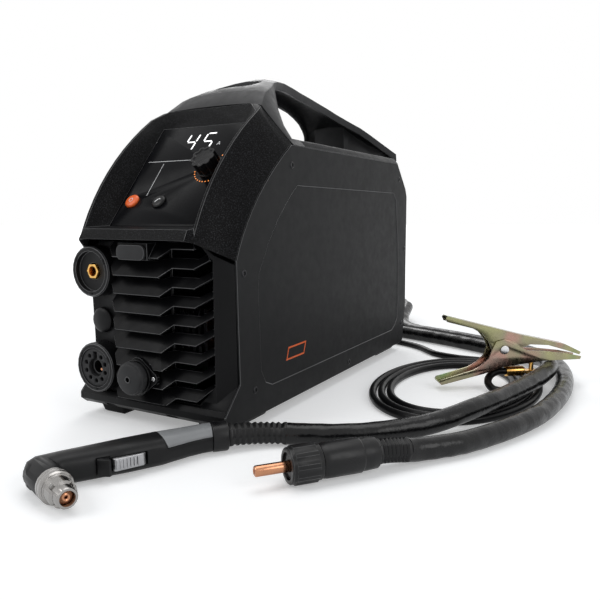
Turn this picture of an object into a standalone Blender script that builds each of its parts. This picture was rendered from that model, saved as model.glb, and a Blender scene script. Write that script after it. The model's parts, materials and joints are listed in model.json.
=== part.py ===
"""Plasma cutter unit: power source, torch with its hose and plug, earth lead with its clamp.

The power source stands with its front towards -Y and its length along Y.  The origin is the
middle of its footprint on the floor.  Lengths are in metres, +Z is up.
"""

import math

import bmesh
import bpy
from mathutils import Matrix, Vector

MM = 0.001

# ----------------------------------------------------------------------------
# Driving sizes
# ----------------------------------------------------------------------------

GAP = 0.3 * MM                  # running and seating clearance between pieces
WIDTH = 170 * MM                # over the two side panels
PANEL_T = 1.8 * MM              # side panel sheet
PANEL_FOOT_Z = 10.5 * MM        # lower edge of the side panels
PANEL_TOP_Z = 251.5 * MM        # upper edge of the side panels
PANEL_CROWN_Y = 184 * MM        # where the upper edge turns down to the rear
PANEL_TAIL = (216 * MM, 219 * MM)
RECESS_DEPTH = 0.8 * MM         # pressed field of a side panel

FOOT_H = 10.3 * MM
FOOT_INSET = WIDTH / 2 - 42 * MM     # inner side of a front foot from the middle
FOOT_OUTER = WIDTH / 2 - 11 * MM
FRONT_FOOT_Y = (-190 * MM, -118 * MM)
REAR_FOOT_Y = (150 * MM, 212 * MM)
REAR_FOOT_INSET = WIDTH / 2 - 35 * MM

TRAY_T = 2 * MM
TRAY_WALL_Z = 40 * MM
TRAY_FRONT_Y = -164.7 * MM
REAR_PANEL_Y = 205.5 * MM       # inner face of the rear panel
REAR_PANEL_T = 2.5 * MM

COVER_T = 2.5 * MM
COVER_RISE = 7 * MM             # deck above the panel's upper edge
COVER_CHAMFER = 6.5 * MM
COVER_SEAM_Y = -66 * MM         # joint between top cover and handle foot

VISOR_T = 3 * MM
VISOR_SEAM = 1.4 * MM           # shadow gap between visor and side panel
FLANGE_X = 64 * MM              # outer edge of the visor's rim
RIM_W = 2.5 * MM
FASCIA_W = 98 * MM
FASCIA_L = 121 * MM
FASCIA_T = 2 * MM

FRONT_Y = -195 * MM             # face of the front frame
FRONT_T = 3 * MM
FRONT_EDGE = (WIDTH / 2 - 2.1 * MM, -183 * MM)
FRONT_CHAMFER_X = WIDTH / 2 - 15 * MM
WINDOW_X = (-36 * MM, FRONT_CHAMFER_X - 0.5 * MM)
FRONT_FOOT_Z = 10.9 * MM        # lower and upper edge of the front frame
FRONT_TOP_Z = 165.2 * MM
WINDOW_Z = (24 * MM, 165.8 * MM)
CHIN_Y = -202.7 * MM

BLADE_COUNT = 9
BLADE_PITCH = 15.95 * MM
BLADE_FIRST_Z = 25.1 * MM
BLADE_T = 1.6 * MM

SOCKET_X = -57.6 * MM
EARTH_SOCKET_Z = 138 * MM
TORCH_SOCKET_Z = 49.5 * MM
BLANK_Z = 92 * MM
SOCKET_R = 23.1 * MM
SOCKET_PROUD = 14 * MM
SPIGOT_R = 17 * MM
BLANK_R = 11.7 * MM
BLANK_PROUD = 5 * MM
CONTACT_R = 7.25 * MM
CONTACT_BORE_R = 4.6 * MM
TORCH_INSERT_R = 17 * MM
TORCH_BORE_R = 6 * MM
PORT_HOLES = 10
REMOTE_Z = 49.5 * MM
REMOTE_FACE_Y = -213.5 * MM
REMOTE_HALF = (21.5 * MM, 17.2 * MM)
REMOTE_T = 3.5 * MM
REMOTE_COLLAR_R = 11 * MM
CAP_R = 14.8 * MM
CAP_FRONT_Y = -226 * MM
PORT_COVER_Z = 157 * MM
PORT_COVER_HALF = (15.5 * MM, 6.3 * MM)
PORT_COVER_Y = -217.4 * MM
PORT_COVER_T = 2.6 * MM

KNOB_AT = (34.3 * MM, 55 * MM)  # across and down the fascia
KNOB_R = 12.5 * MM
KNOB_H = 14.5 * MM
SHAFT_R = 3 * MM
MODE_AT = (-37.5 * MM, 92.7 * MM)
MODE_R = 7.2 * MM
FUNCTION_AT = (-5 * MM, 93.8 * MM)
FUNCTION_R = 6.8 * MM
BUTTON_PROUD = 2.5 * MM
BUTTON_STEM = 4 * MM
BOARD_DEPTH = 9 * MM            # face of the control board below the fascia plate
BOARD_T = 1.6 * MM

FAN_FRAME = 92 * MM
FAN_DEPTH = 25 * MM
FAN_Z = 82 * MM
FAN_BORE_R = 43 * MM
FAN_HUB_R = 17 * MM
FAN_BLADES = 7
SWITCH_AT = (-42 * MM, 190 * MM)
GLAND_AT = (45 * MM, 195 * MM)
AIR_AT = (45 * MM, 158 * MM)
REAR_TIP_Y = 226 * MM

HOSE_R = 9 * MM
LEAD_R = 4 * MM

# ----------------------------------------------------------------------------
# Materials
# ----------------------------------------------------------------------------

FINISHES = {
    "panel_paint": ((0.045, 0.045, 0.047), 0.55, 0.0),
    "housing_plastic": ((0.022, 0.022, 0.024), 0.6, 0.0),
    "fascia_gloss": ((0.006, 0.006, 0.007), 0.12, 0.0),
    "grille_plastic": ((0.02, 0.02, 0.022), 0.5, 0.0),
    "rubber": ((0.012, 0.012, 0.013), 0.75, 0.0),
    "orange_plastic": ((0.9, 0.15, 0.02), 0.35, 0.0),
    "brass": ((0.78, 0.52, 0.2), 0.3, 1.0),
    "copper": ((0.72, 0.34, 0.2), 0.3, 1.0),
    "steel": ((0.62, 0.62, 0.63), 0.3, 1.0),
    "aluminium": ((0.5, 0.51, 0.52), 0.4, 1.0),
    "grey_plastic": ((0.35, 0.36, 0.37), 0.45, 0.0),
    "board_green": ((0.02, 0.1, 0.05), 0.5, 0.0),
    "yellow_zinc": ((0.55, 0.47, 0.24), 0.35, 1.0),
}


def material(name):
    """Return the named Principled material, made once."""
    found = bpy.data.materials.get(name)
    if found:
        return found
    colour, roughness, metallic = FINISHES[name]
    made = bpy.data.materials.new(name)
    made.use_nodes = True
    shader = made.node_tree.nodes["Principled BSDF"]
    shader.inputs["Base Color"].default_value = (*colour, 1.0)
    shader.inputs["Roughness"].default_value = roughness
    shader.inputs["Metallic"].default_value = metallic
    made.diffuse_color = (*colour, 1.0)
    return made


# ----------------------------------------------------------------------------
# Modelling helpers
# ----------------------------------------------------------------------------

def mm(*values):
    """Millimetres to a vector in metres."""
    return Vector([value * MM for value in values])


def clear_scene():
    """Remove what the file holds, and make the collection of parts."""
    for obj in list(bpy.data.objects):
        bpy.data.objects.remove(obj, do_unlink=True)
    for group in list(bpy.data.collections):
        bpy.data.collections.remove(group)
    parts = bpy.data.collections.new("plasma_cutter_unit")
    bpy.context.scene.collection.children.link(parts)


def add_object(name, data):
    """Link new data as an object in the collection of parts."""
    obj = bpy.data.objects.new(name, data)
    bpy.data.collections["plasma_cutter_unit"].objects.link(obj)
    return obj


def from_bmesh(name, bm):
    """Turn a bmesh into an object, with its faces out."""
    bmesh.ops.recalc_face_normals(bm, faces=bm.faces)
    mesh = bpy.data.meshes.new(name)
    bm.to_mesh(mesh)
    bm.free()
    return add_object(name, mesh)


def bake(obj):
    """Apply an object's modifiers, or turn a curve into a mesh, keeping its place."""
    bpy.context.view_layer.update()
    graph = bpy.context.evaluated_depsgraph_get()
    mesh = bpy.data.meshes.new_from_object(obj.evaluated_get(graph))
    bm = bmesh.new()
    bm.from_mesh(mesh)
    bmesh.ops.remove_doubles(bm, verts=bm.verts, dist=1e-6)
    bmesh.ops.recalc_face_normals(bm, faces=bm.faces)
    bm.to_mesh(mesh)
    bm.free()
    name = obj.name
    matrix = obj.matrix_world.copy()
    bpy.data.objects.remove(obj, do_unlink=True)
    made = add_object(name, mesh)
    made.matrix_world = matrix
    return made


def box(name, low, high):
    """An axis-aligned box between two corners."""
    bm = bmesh.new()
    bmesh.ops.create_cube(bm, size=1.0)
    low = Vector(low)
    high = Vector(high)
    size = high - low
    middle = (high + low) / 2
    for vert in bm.verts:
        vert.co = Vector([v * s + m for v, s, m in zip(vert.co, size, middle)])
    return from_bmesh(name, bm)


def cylinder(name, start, end, radius, sides=32, end_radius=None):
    """A cylinder or cone between two points."""
    start = Vector(start)
    end = Vector(end)
    axis = end - start
    bm = bmesh.new()
    bmesh.ops.create_cone(bm, cap_ends=True, segments=sides, radius1=radius,
                          radius2=radius if end_radius is None else end_radius,
                          depth=axis.length)
    turn = axis.to_track_quat("Z", "Y").to_matrix().to_4x4()
    bm.transform(Matrix.Translation((start + end) / 2) @ turn)
    return from_bmesh(name, bm)


def plate(name, outlines, thickness, frame=None):
    """A flat plate: closed outlines, the later ones as holes, centred on its own plane."""
    curve = bpy.data.curves.new(name, "CURVE")
    curve.dimensions = "2D"
    curve.fill_mode = "BOTH"
    curve.extrude = thickness / 2
    for outline in outlines:
        spline = curve.splines.new("POLY")
        spline.points.add(len(outline) - 1)
        for point, (x, y) in zip(spline.points, outline):
            point.co = (x, y, 0.0, 1.0)
        spline.use_cyclic_u = True
    obj = add_object(name, curve)
    obj = bake(obj)
    if frame is not None:
        obj.data.transform(frame)
        obj.data.update()
    return obj


def turned(name, profile, steps=24, frame=None):
    """A body of revolution about Z; the profile runs (radius, height) from top to bottom."""
    mesh = bpy.data.meshes.new(name)
    points = [(radius, 0.0, height) for radius, height in profile]
    closed = profile[0][0] > 1e-9 or profile[-1][0] > 1e-9
    edges = [(i, i + 1) for i in range(len(points) - 1)
             if profile[i][0] > 1e-9 or profile[i + 1][0] > 1e-9]
    if closed:
        edges.append((len(points) - 1, 0))
    mesh.from_pydata(points, edges, [])
    obj = add_object(name, mesh)
    screw = obj.modifiers.new("turn", "SCREW")
    screw.steps = steps
    screw.render_steps = steps
    screw.use_merge_vertices = True
    screw.merge_threshold = 1e-6
    screw.use_normal_calculate = True
    obj = bake(obj)
    if frame is not None:
        obj.data.transform(frame)
        obj.data.update()
    return obj


def tube(name, points, radius, resolution=2, scales=None):
    """A round tube along a polyline, with filled ends."""
    curve = bpy.data.curves.new(name, "CURVE")
    curve.dimensions = "3D"
    curve.bevel_depth = radius
    curve.bevel_resolution = resolution
    curve.use_fill_caps = True
    spline = curve.splines.new("POLY")
    spline.points.add(len(points) - 1)
    for index, point in enumerate(points):
        spline.points[index].co = (*point, 1.0)
        if scales:
            spline.points[index].radius = scales[index]
    return bake(add_object(name, curve))


def loft(name, sections):
    """A closed solid through sections with equal numbers of points, the ends capped."""
    bm = bmesh.new()
    rings = [[bm.verts.new(point) for point in section] for section in sections]
    count = len(rings[0])
    for near, far in zip(rings, rings[1:]):
        for i in range(count):
            j = (i + 1) % count
            bm.faces.new((near[i], near[j], far[j], far[i]))
    bm.faces.new(rings[0])
    bm.faces.new(rings[-1])
    return from_bmesh(name, bm)


def boolean(obj, other, operation):
    """Cut, join or intersect an object with another, which is used up."""
    modifier = obj.modifiers.new("shape", "BOOLEAN")
    modifier.operation = operation
    modifier.object = other
    other.hide_render = True
    other.display_type = "WIRE"
    obj = bake(obj)
    bpy.data.objects.remove(other, do_unlink=True)
    return obj


def cut(obj, *others):
    for other in others:
        obj = boolean(obj, other, "DIFFERENCE")
    return obj


def join(obj, *others):
    for other in others:
        obj = boolean(obj, other, "UNION")
    return obj


def bevel(obj, width, segments=2, angle=40):
    """Round the sharp edges with a live modifier."""
    modifier = obj.modifiers.new("round", "BEVEL")
    modifier.width = width
    modifier.segments = segments
    modifier.limit_method = "ANGLE"
    modifier.angle_limit = math.radians(angle)
    modifier.use_clamp_overlap = True
    return obj


def shell(obj, thickness):
    """Give an open surface its wall, inwards from its faces."""
    modifier = obj.modifiers.new("wall", "SOLIDIFY")
    modifier.thickness = thickness
    modifier.offset = -1.0
    modifier.use_even_offset = True
    return bake(obj)


def mirrored(obj):
    """Mirror a half that is open at the plane X = 0."""
    modifier = obj.modifiers.new("mirror", "MIRROR")
    modifier.use_clip = True
    modifier.merge_threshold = 0.0001
    return bake(obj)


def done(obj, slot, smooth=None, frame=None, origin=None):
    """Give a piece its material, its shading and, on request, its frame or its origin."""
    obj.data.materials.clear()
    obj.data.materials.append(material(slot))
    if smooth is not None:
        obj.data.shade_smooth()
        obj.data.set_sharp_from_angle(angle=math.radians(smooth))
    if origin is not None:
        obj.data.transform(Matrix.Translation(-Vector(origin)))
        obj.location = origin
    if frame is not None:
        bpy.context.view_layer.update()
        obj.matrix_world = frame @ obj.matrix_world
    return obj


def bezier(start, control, end, count):
    """Points of a quadratic curve, both ends included."""
    start, control, end = Vector(start), Vector(control), Vector(end)
    points = []
    for i in range(count + 1):
        t = i / count
        points.append(start * (1 - t) ** 2 + control * 2 * t * (1 - t) + end * t * t)
    return points


def arc(centre, radius, first, last, count):
    """Points of an arc in a plane, angles in degrees."""
    points = []
    for i in range(count + 1):
        angle = math.radians(first + (last - first) * i / count)
        points.append((centre[0] + radius * math.cos(angle), centre[1] + radius * math.sin(angle)))
    return points


def circle(centre, radius, count):
    """Points of a full circle in a plane."""
    return arc(centre, radius, 0, 360, count)[:-1]


def rounded(low, high, radius, steps=4):
    """Outline of a rectangle with round corners."""
    x0, y0 = low
    x1, y1 = high
    return (arc((x1 - radius, y1 - radius), radius, 0, 90, steps)
            + arc((x0 + radius, y1 - radius), radius, 90, 180, steps)
            + arc((x0 + radius, y0 + radius), radius, 180, 270, steps)
            + arc((x1 - radius, y0 + radius), radius, 270, 360, steps))


def axes(origin, x_axis, y_axis, z_axis):
    """A frame from its origin and its three unit axes."""
    frame = Matrix.Identity(4)
    for column, axis in enumerate((x_axis, y_axis, z_axis)):
        for row in range(3):
            frame[row][column] = axis[row]
    for row in range(3):
        frame[row][3] = origin[row]
    return frame


def plan_frame(origin, degrees):
    """A frame on the floor plane, turned about Z."""
    return Matrix.Translation(origin) @ Matrix.Rotation(math.radians(degrees), 4, "Z")


SIDE = axes((0, 0, 0), (0, 1, 0), (0, 0, 1), (1, 0, 0))      # drawn (y, z), thick along X
FRONT = axes((0, 0, 0), (1, 0, 0), (0, 0, 1), (0, -1, 0))    # drawn (x, z), thick along Y
TURN_Y = axes((0, 0, 0), (1, 0, 0), (0, 0, 1), (0, -1, 0))   # turned about Y, top to the front


def at(frame, x=0.0, y=0.0, z=0.0):
    """The same frame moved in world axes."""
    return Matrix.Translation((x, y, z)) @ frame


# ----------------------------------------------------------------------------
# Casing
# ----------------------------------------------------------------------------

SEAM_CURVE = (mm(-183.5, 150), mm(-162.25, 203.25), mm(-92, 251.5))
RIM_CURVE = (mm(-213.5, 166), mm(-184.75, 238), mm(-105, 288))


def panel_outline():
    """Outline (y, z) of a side panel."""
    front = [tuple(p) for p in bezier(*SEAM_CURVE, 10)]
    points = [mm(-196, 10.5), mm(-203, 16), mm(-203, 22), mm(-181, 45)]
    points += front
    points += [(PANEL_CROWN_Y, PANEL_TOP_Z), PANEL_TAIL]
    points += [mm(220.5, 210), mm(222, 60), mm(213, 13), mm(206, 10.5)]
    return [tuple(p) for p in points]


def recess_outline():
    """Outline (y, z) of the pressed field of a side panel."""
    return [tuple(mm(y, z)) for y, z in (
        (-80.6, 215), (-95.8, 203.8), (-117.6, 183), (-135, 161.3), (-150, 136),
        (-151.4, 123), (-148, 50), (-141, 38), (-129, 33), (172, 33), (184, 38.7),
        (191.5, 47), (193.8, 71), (193, 125.4), (181.7, 205), (172, 213.8))]


def shrunk(points, amount):
    """Move an outline's points towards its middle by about one amount."""
    cx = sum(p[0] for p in points) / len(points)
    cy = sum(p[1] for p in points) / len(points)
    moved = []
    for x, y in points:
        out = Vector((x - cx, y - cy))
        moved.append((x - amount * out.x / out.length, y - amount * out.y / out.length))
    return moved


def side_panel(name, side):
    """A sheet side with its pressed field: dished outside, raised inside."""
    middle = side * (WIDTH / 2 - PANEL_T / 2)
    sheet = plate(name, [panel_outline()], PANEL_T, at(SIDE, middle))
    pocket_x = side * (WIDTH / 2)
    pocket = plate("pocket", [recess_outline()], 2 * RECESS_DEPTH, at(SIDE, pocket_x))
    rise_x = side * (WIDTH / 2 - PANEL_T)
    rise = plate("rise", [shrunk(recess_outline(), PANEL_T)], 2 * RECESS_DEPTH, at(SIDE, rise_x))
    sheet = join(sheet, rise)
    sheet = cut(sheet, pocket)
    return done(sheet, "panel_paint", 30)


def base_tray():
    """The tray that carries the inside: a floor with two walls inside the side panels."""
    half = WIDTH / 2 - PANEL_T - RECESS_DEPTH - GAP
    low = PANEL_FOOT_Z + 0.1 * MM
    outline = [(-half, low), (half, low), (half, TRAY_WALL_Z), (half - TRAY_T, TRAY_WALL_Z),
               (half - TRAY_T, low + TRAY_T), (-half + TRAY_T, low + TRAY_T),
               (-half + TRAY_T, TRAY_WALL_Z), (-half, TRAY_WALL_Z)]
    back = REAR_PANEL_Y + REAR_PANEL_T
    middle = (TRAY_FRONT_Y + back) / 2
    tray = plate("base_tray", [outline], back - TRAY_FRONT_Y, at(FRONT, y=middle))
    return done(tray, "panel_paint", 30)


def feet():
    """Four rubber feet under the tray."""
    top = FOOT_H
    places = [("foot_front_right", 1, FOOT_INSET, FRONT_FOOT_Y),
              ("foot_front_left", -1, FOOT_INSET, FRONT_FOOT_Y),
              ("foot_rear_right", 1, REAR_FOOT_INSET, REAR_FOOT_Y),
              ("foot_rear_left", -1, REAR_FOOT_INSET, REAR_FOOT_Y)]
    for name, side, inset, (y0, y1) in places:
        x0, x1 = sorted((side * inset, side * FOOT_OUTER))
        foot = box(name, (x0, y0, 0.0), (x1, y1, top))
        for vert in foot.data.vertices:
            if vert.co.z < top / 2:
                vert.co.x += math.copysign(2 * MM, (x0 + x1) / 2 - vert.co.x)
                vert.co.y += math.copysign(3 * MM, (y0 + y1) / 2 - vert.co.y)
        bevel(foot, 2 * MM, 1)
        done(foot, "rubber", 40)


def cover_profile():
    """Half outline (x, height over the panel's edge) of the top cover, closed over the middle."""
    outer = WIDTH / 2
    lip = outer - PANEL_T - GAP - 0.1 * MM
    crown = outer - COVER_CHAMFER
    right = [(crown, COVER_RISE), (outer, GAP), (lip, GAP), (lip, -5.5 * MM),
             (lip - COVER_T, -5.5 * MM), (lip - COVER_T, 1.2 * MM),
             (crown - COVER_T / 2, COVER_RISE - COVER_T)]
    left = [(-x, h) for x, h in reversed(right)]
    return right + left


def top_cover():
    """The cover: one profile swept along the upper edge and down the rear chamfer."""
    sections = []
    corner = Vector((math.sin(math.radians(22.5)), math.cos(math.radians(22.5))))
    tail = Vector((math.sin(math.radians(45)), math.cos(math.radians(45))))
    stations = [((COVER_SEAM_Y, PANEL_TOP_Z), Vector((0, 1)), 1.0),
                ((PANEL_CROWN_Y, PANEL_TOP_Z), corner, 1 / corner.y),
                (PANEL_TAIL, tail, 1.0)]
    for (y, z), up, stretch in stations:
        sections.append([(x, y + up.x * h * stretch, z + up.y * h * stretch)
                         for x, h in cover_profile()])
    cover = loft("top_cover", sections)
    return done(cover, "housing_plastic", 30)


def rear_panel():
    """The flat rear, with its vent slots and the holes of what is mounted on it."""
    inner = WIDTH / 2 - PANEL_T - RECESS_DEPTH - GAP
    narrow = inner - COVER_T - 3.2 * MM
    low = PANEL_FOOT_Z + 0.1 * MM + TRAY_T + GAP
    slope_y = REAR_PANEL_Y + REAR_PANEL_T - PANEL_CROWN_Y
    top = PANEL_TOP_Z - slope_y * 1.02 + (COVER_RISE - COVER_T) * 1.41 - 8 * GAP
    step = 216 * MM
    wall = inner - TRAY_T - GAP
    outline = [(-wall, low), (wall, low), (wall, TRAY_WALL_Z + GAP), (inner, TRAY_WALL_Z + GAP),
               (inner, step), (narrow, step), (narrow, top), (-narrow, top), (-narrow, step),
               (-inner, step), (-inner, TRAY_WALL_Z + GAP), (-wall, TRAY_WALL_Z + GAP)]
    holes = []
    reach = FAN_BORE_R - 4 * MM
    rows = 8
    for i in range(rows):
        z = FAN_Z + (i - (rows - 1) / 2) * 9.4 * MM
        span = math.sqrt(max(reach ** 2 - (z - FAN_Z) ** 2, (14 * MM) ** 2))
        holes.append(rounded((-span, z - 2.6 * MM), (span, z + 2.6 * MM), 2.5 * MM, 2))
    sx, sz = SWITCH_AT
    hx, hz = SWITCH_HALF[0] + GAP, SWITCH_HALF[1] + GAP
    holes.append([(sx - hx, sz - hz), (sx + hx, sz - hz), (sx + hx, sz + hz), (sx - hx, sz + hz)])
    holes.append(circle(GLAND_AT, 8.4 * MM, 18))
    holes.append(circle(AIR_AT, 6.9 * MM, 18))
    middle = REAR_PANEL_Y + REAR_PANEL_T / 2
    panel = plate("rear_panel", [outline] + holes, REAR_PANEL_T, at(FRONT, y=middle))
    return done(panel, "panel_paint", 30)


def seam_point(t):
    """Point (y, z) of the visor's outer seam, from its top (0) to its foot (1)."""
    start, control, end = SEAM_CURVE
    point = end * (1 - t) ** 2 + control * 2 * t * (1 - t) + start * t * t
    ahead = (end * (1 - t) + control * t) - (control * (1 - t) + start * t)
    ahead.normalize()
    return point + Vector((-ahead.y, ahead.x)) * VISOR_SEAM


def rim_point(t):
    """Point (y, z) of the rim's outer edge, from its top (0) to its foot (1)."""
    start, control, end = RIM_CURVE
    return end * (1 - t) ** 2 + control * 2 * t * (1 - t) + start * t * t


FASCIA_TOP = mm(0, -113.5, 271.5)
FASCIA_DOWN = Vector((0.0, -77.5, -93.0)).normalized()
FASCIA_NORMAL = Vector((0.0, -93.0, 77.5)).normalized()
FASCIA = axes(FASCIA_TOP, (1, 0, 0), -FASCIA_DOWN, FASCIA_NORMAL)


def front_visor():
    """The moulded visor: side facets, rim, sloping cheeks and lips round the fascia."""
    rows = 9
    window = FASCIA_W / 2 + GAP
    columns = 6
    grid = []
    lip_top = [mm(0, -102.5, 290), mm(25, -102.8, 290), mm(49, -104, 289.6),
               mm(56, -104.8, 288.4), mm(60.5, -105.8, 286)]
    y, z = seam_point(0)
    grid.append(lip_top + [Vector((WIDTH / 2, y, z))])
    for i in range(rows + 1):
        t = 0.07 + (0.92 - 0.07) * i / rows
        rim = rim_point(t)
        seam = seam_point(t)
        slope = FASCIA_TOP + FASCIA_DOWN * (FASCIA_L * i / rows)
        grid.append([Vector((0, slope.y, slope.z)), Vector((window / 2, slope.y, slope.z)),
                     Vector((window, slope.y, slope.z)), Vector((FLANGE_X - RIM_W, *rim)),
                     Vector((FLANGE_X, *rim)), Vector((WIDTH / 2, *seam))])
    rim = rim_point(0.96)
    grid.append([mm(0, -213.4, 176.5), mm(25, -213.4, 176.5), mm(49, -213.4, 176.5),
                 mm(58.5, -213.2, 176.2), Vector((FLANGE_X, *rim)),
                 Vector((WIDTH / 2, *seam_point(0.96)))])
    seam = seam_point(1)
    grid.append([mm(0, -218.6, 167.7), mm(25, -218.6, 167.7), mm(49, -218.6, 167.7),
                 mm(59, -218.4, 167.4), mm(64, -213.8, 165.8),
                 Vector((WIDTH / 2, seam.x, seam.y))])
    grid.append([mm(0, -200, 168.6), mm(25, -200, 168.6), mm(49, -200, 168.6),
                 mm(58, -200, 168.3), mm(62, -201, 167.4), None])
    bm = bmesh.new()
    verts = [[bm.verts.new(p) if p is not None else None for p in row] for row in grid]
    for i in range(len(grid) - 1):
        for j in range(columns - 1):
            if 1 <= i <= rows and j < 2:
                continue
            quad = [verts[i][j], verts[i + 1][j], verts[i + 1][j + 1], verts[i][j + 1]]
            if None in quad:
                continue
            bm.faces.new(quad)
    bmesh.ops.delete(bm, geom=[v for v in bm.verts if not v.link_faces], context="VERTS")
    mesh = bpy.data.meshes.new("front_visor")
    bm.to_mesh(mesh)
    bm.free()
    visor = mirrored(add_object("front_visor", mesh))
    if sum(face.normal.y for face in visor.data.polygons) > 0:
        visor.data.flip_normals()
    visor = shell(visor, VISOR_T)
    return done(visor, "housing_plastic", 30)


def front_frame():
    """The front frame: a folded channel with its window, its chin and two corner gussets."""
    ex, ey = FRONT_EDGE
    inner_x = ex - FRONT_T
    back = -165 * MM
    cx = FRONT_CHAMFER_X
    outer = [(-ex, back), (-ex, ey), (-cx, FRONT_Y), (cx, FRONT_Y), (ex, ey), (ex, back)]
    face = FRONT_Y + FRONT_T
    inside = [(inner_x, back), (inner_x, ey + 1.4 * MM), (cx - 1.2 * MM, face),
              (-cx + 1.2 * MM, face), (-inner_x, ey + 1.4 * MM), (-inner_x, back)]
    low, high = FRONT_FOOT_Z, FRONT_TOP_Z
    wide = ex + 7.1 * MM
    notch = ex - 2.9 * MM
    frame = plate("front_frame", [outer + inside], high - low,
                  Matrix.Translation((0, 0, (low + high) / 2)))
    sheet = [(-wide, low - 1 * MM), (wide, low - 1 * MM), (wide, 143 * MM),
             (notch, 148.5 * MM), (62 * MM, 161 * MM), (57 * MM, high + 1 * MM),
             (-57 * MM, high + 1 * MM), (-62 * MM, 161 * MM), (-notch, 148.5 * MM),
             (-wide, 143 * MM)]
    frame = boolean(frame, plate("trim", [sheet], 80 * MM, at(FRONT, y=-185 * MM)), "INTERSECT")
    chin = [tuple(mm(y, z)) for y, z in (
        (-180, 10.9), (-196, 10.9), (-202.7, 16), (-202.7, 21.7), (-200, 26), (-180, 26))]
    bar = plate("chin", [chin], 2 * ex, SIDE)
    gusset = [tuple(mm(y, z)) for y, z in ((-179, 20), (-201, 20), (-202.2, 22.4), (-182, 44.4),
                                           (-179, 44.4))]
    gussets = []
    for side in (-1, 1):
        x0, x1 = 56 * MM, ex - 0.02 * MM
        piece = plate("gusset", [gusset], x1 - x0, at(SIDE, side * (x0 + x1) / 2))
        gussets.append(piece)
    frame = join(frame, bar, *gussets)
    x0, x1 = WINDOW_X
    z0, z1 = WINDOW_Z
    opening = [(x0, z0 + 2.5 * MM), (52 * MM, z0 + 2.5 * MM), (x1, 44.8 * MM), (x1, 150 * MM),
               (60 * MM, 160 * MM), (54 * MM, z1), (x0, z1)]
    frame = cut(frame, plate("window", [opening], 60 * MM, at(FRONT, y=-197 * MM)))
    for x, z, radius in ((SOCKET_X, EARTH_SOCKET_Z, SPIGOT_R + GAP),
                         (SOCKET_X, TORCH_SOCKET_Z, SPIGOT_R + GAP),
                         (SOCKET_X, BLANK_Z, 6 * MM + GAP)):
        hole = cylinder("hole", (x, -210 * MM, z), (x, -170 * MM, z), radius, 24)
        frame = cut(frame, hole)
    for z in (EARTH_SOCKET_Z, TORCH_SOCKET_Z):
        frame = cut(frame, socket_space(z))
    for x in (-50 * MM, 24 * MM):
        notch = box("notch", (x - 6 * MM, -210 * MM, 5 * MM), (x + 6 * MM, -196 * MM, 15 * MM))
        frame = cut(frame, notch)
    return done(frame, "housing_plastic", 30)


def socket_space(height):
    """The space in front of the frame that a socket's ring stands in."""
    return cylinder("ring_space", (SOCKET_X, -230 * MM, height), (SOCKET_X, FRONT_Y, height),
                    SOCKET_R + 2 * GAP, 32)


def blade_rows():
    """Front edge, fold and back edge of one louvre blade, relative to its own height."""
    edge = WINDOW_X[1] / MM
    front = [mm(-35.6, -205, 7.5), mm(-26, -212.6, 0), mm(26, -212.6, 0), mm(34.7, -205, 7.5),
             mm(57, -205, 7.5), mm(edge - 0.1, -195.5, 15.5)]
    fold = [mm(-35.6, -197, 15.6), mm(-17, -203, 12.7), mm(17, -203, 12.7), mm(28, -197, 15.6),
            mm(57, -197, 15.6), mm(edge - 3.5, -190, 21.5)]
    back = [Vector((p.x, -188 * MM, p.z - 1.5 * MM)) for p in fold]
    return front, fold, back


def louvre_grille():
    """Zig-zag louvres on upright rails, trimmed to the window of the front frame."""
    x0, x1 = WINDOW_X
    z0, z1 = WINDOW_Z
    blades = []
    for i in range(BLADE_COUNT):
        lift = Vector((0, 0, BLADE_FIRST_Z + i * BLADE_PITCH))
        bm = bmesh.new()
        rows = [[bm.verts.new(p + lift) for p in row] for row in blade_rows()]
        for near, far in zip(rows, rows[1:]):
            for j in range(len(near) - 1):
                bm.faces.new((near[j], near[j + 1], far[j + 1], far[j]))
        mesh = bpy.data.meshes.new("blade")
        bm.to_mesh(mesh)
        bm.free()
        blades.append(shell(add_object("blade", mesh), BLADE_T))
    rails = []
    for x in (x0 + 2 * MM, 22 * MM, x1 - 2 * MM):
        rails.append(box("rail", (x - 1.4 * MM, -191.5 * MM, z0), (x + 1.4 * MM, -185 * MM, z1)))
    grille = rails[0]
    for blade in blades:
        grille = boolean(grille, blade, "UNION")
    for rail in rails[1:]:
        grille = boolean(grille, rail, "UNION")
    outline = [(x0 + GAP, z0 + 2.8 * MM), (51.8 * MM, z0 + 2.8 * MM), (x1 - GAP, 45.2 * MM),
               (x1 - GAP, 149.7 * MM), (59.7 * MM, 159.5 * MM), (53.7 * MM, z1 - GAP),
               (x0 + GAP, z1 - GAP)]
    trim = plate("trim", [outline], 60 * MM, at(FRONT, y=-200 * MM))
    grille = boolean(grille, trim, "INTERSECT")
    hx, hz = PORT_COVER_HALF
    housing = box("housing", (-hx - 1 * MM, PORT_COVER_Y + PORT_COVER_T + GAP,
                              PORT_COVER_Z - hz), (hx + 1 * MM, -200 * MM, 165 * MM))
    grille = join(grille, housing)
    boss = cylinder("boss_hole", (0, -230 * MM, REMOTE_Z), (0, -180 * MM, REMOTE_Z),
                    REMOTE_COLLAR_R + 2 * MM + GAP, 24)
    flange = plate("flange_space", [remote_outline(2 * GAP)], 30 * MM,
                   at(FRONT, z=REMOTE_Z, y=REMOTE_FACE_Y + REMOTE_T + GAP - 15 * MM))
    grille = cut(grille, boss, flange, socket_space(EARTH_SOCKET_Z), socket_space(TORCH_SOCKET_Z))
    grille.name = "louvre_grille"
    return done(grille, "grille_plastic", 30)


# ----------------------------------------------------------------------------
# Handle
# ----------------------------------------------------------------------------

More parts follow.
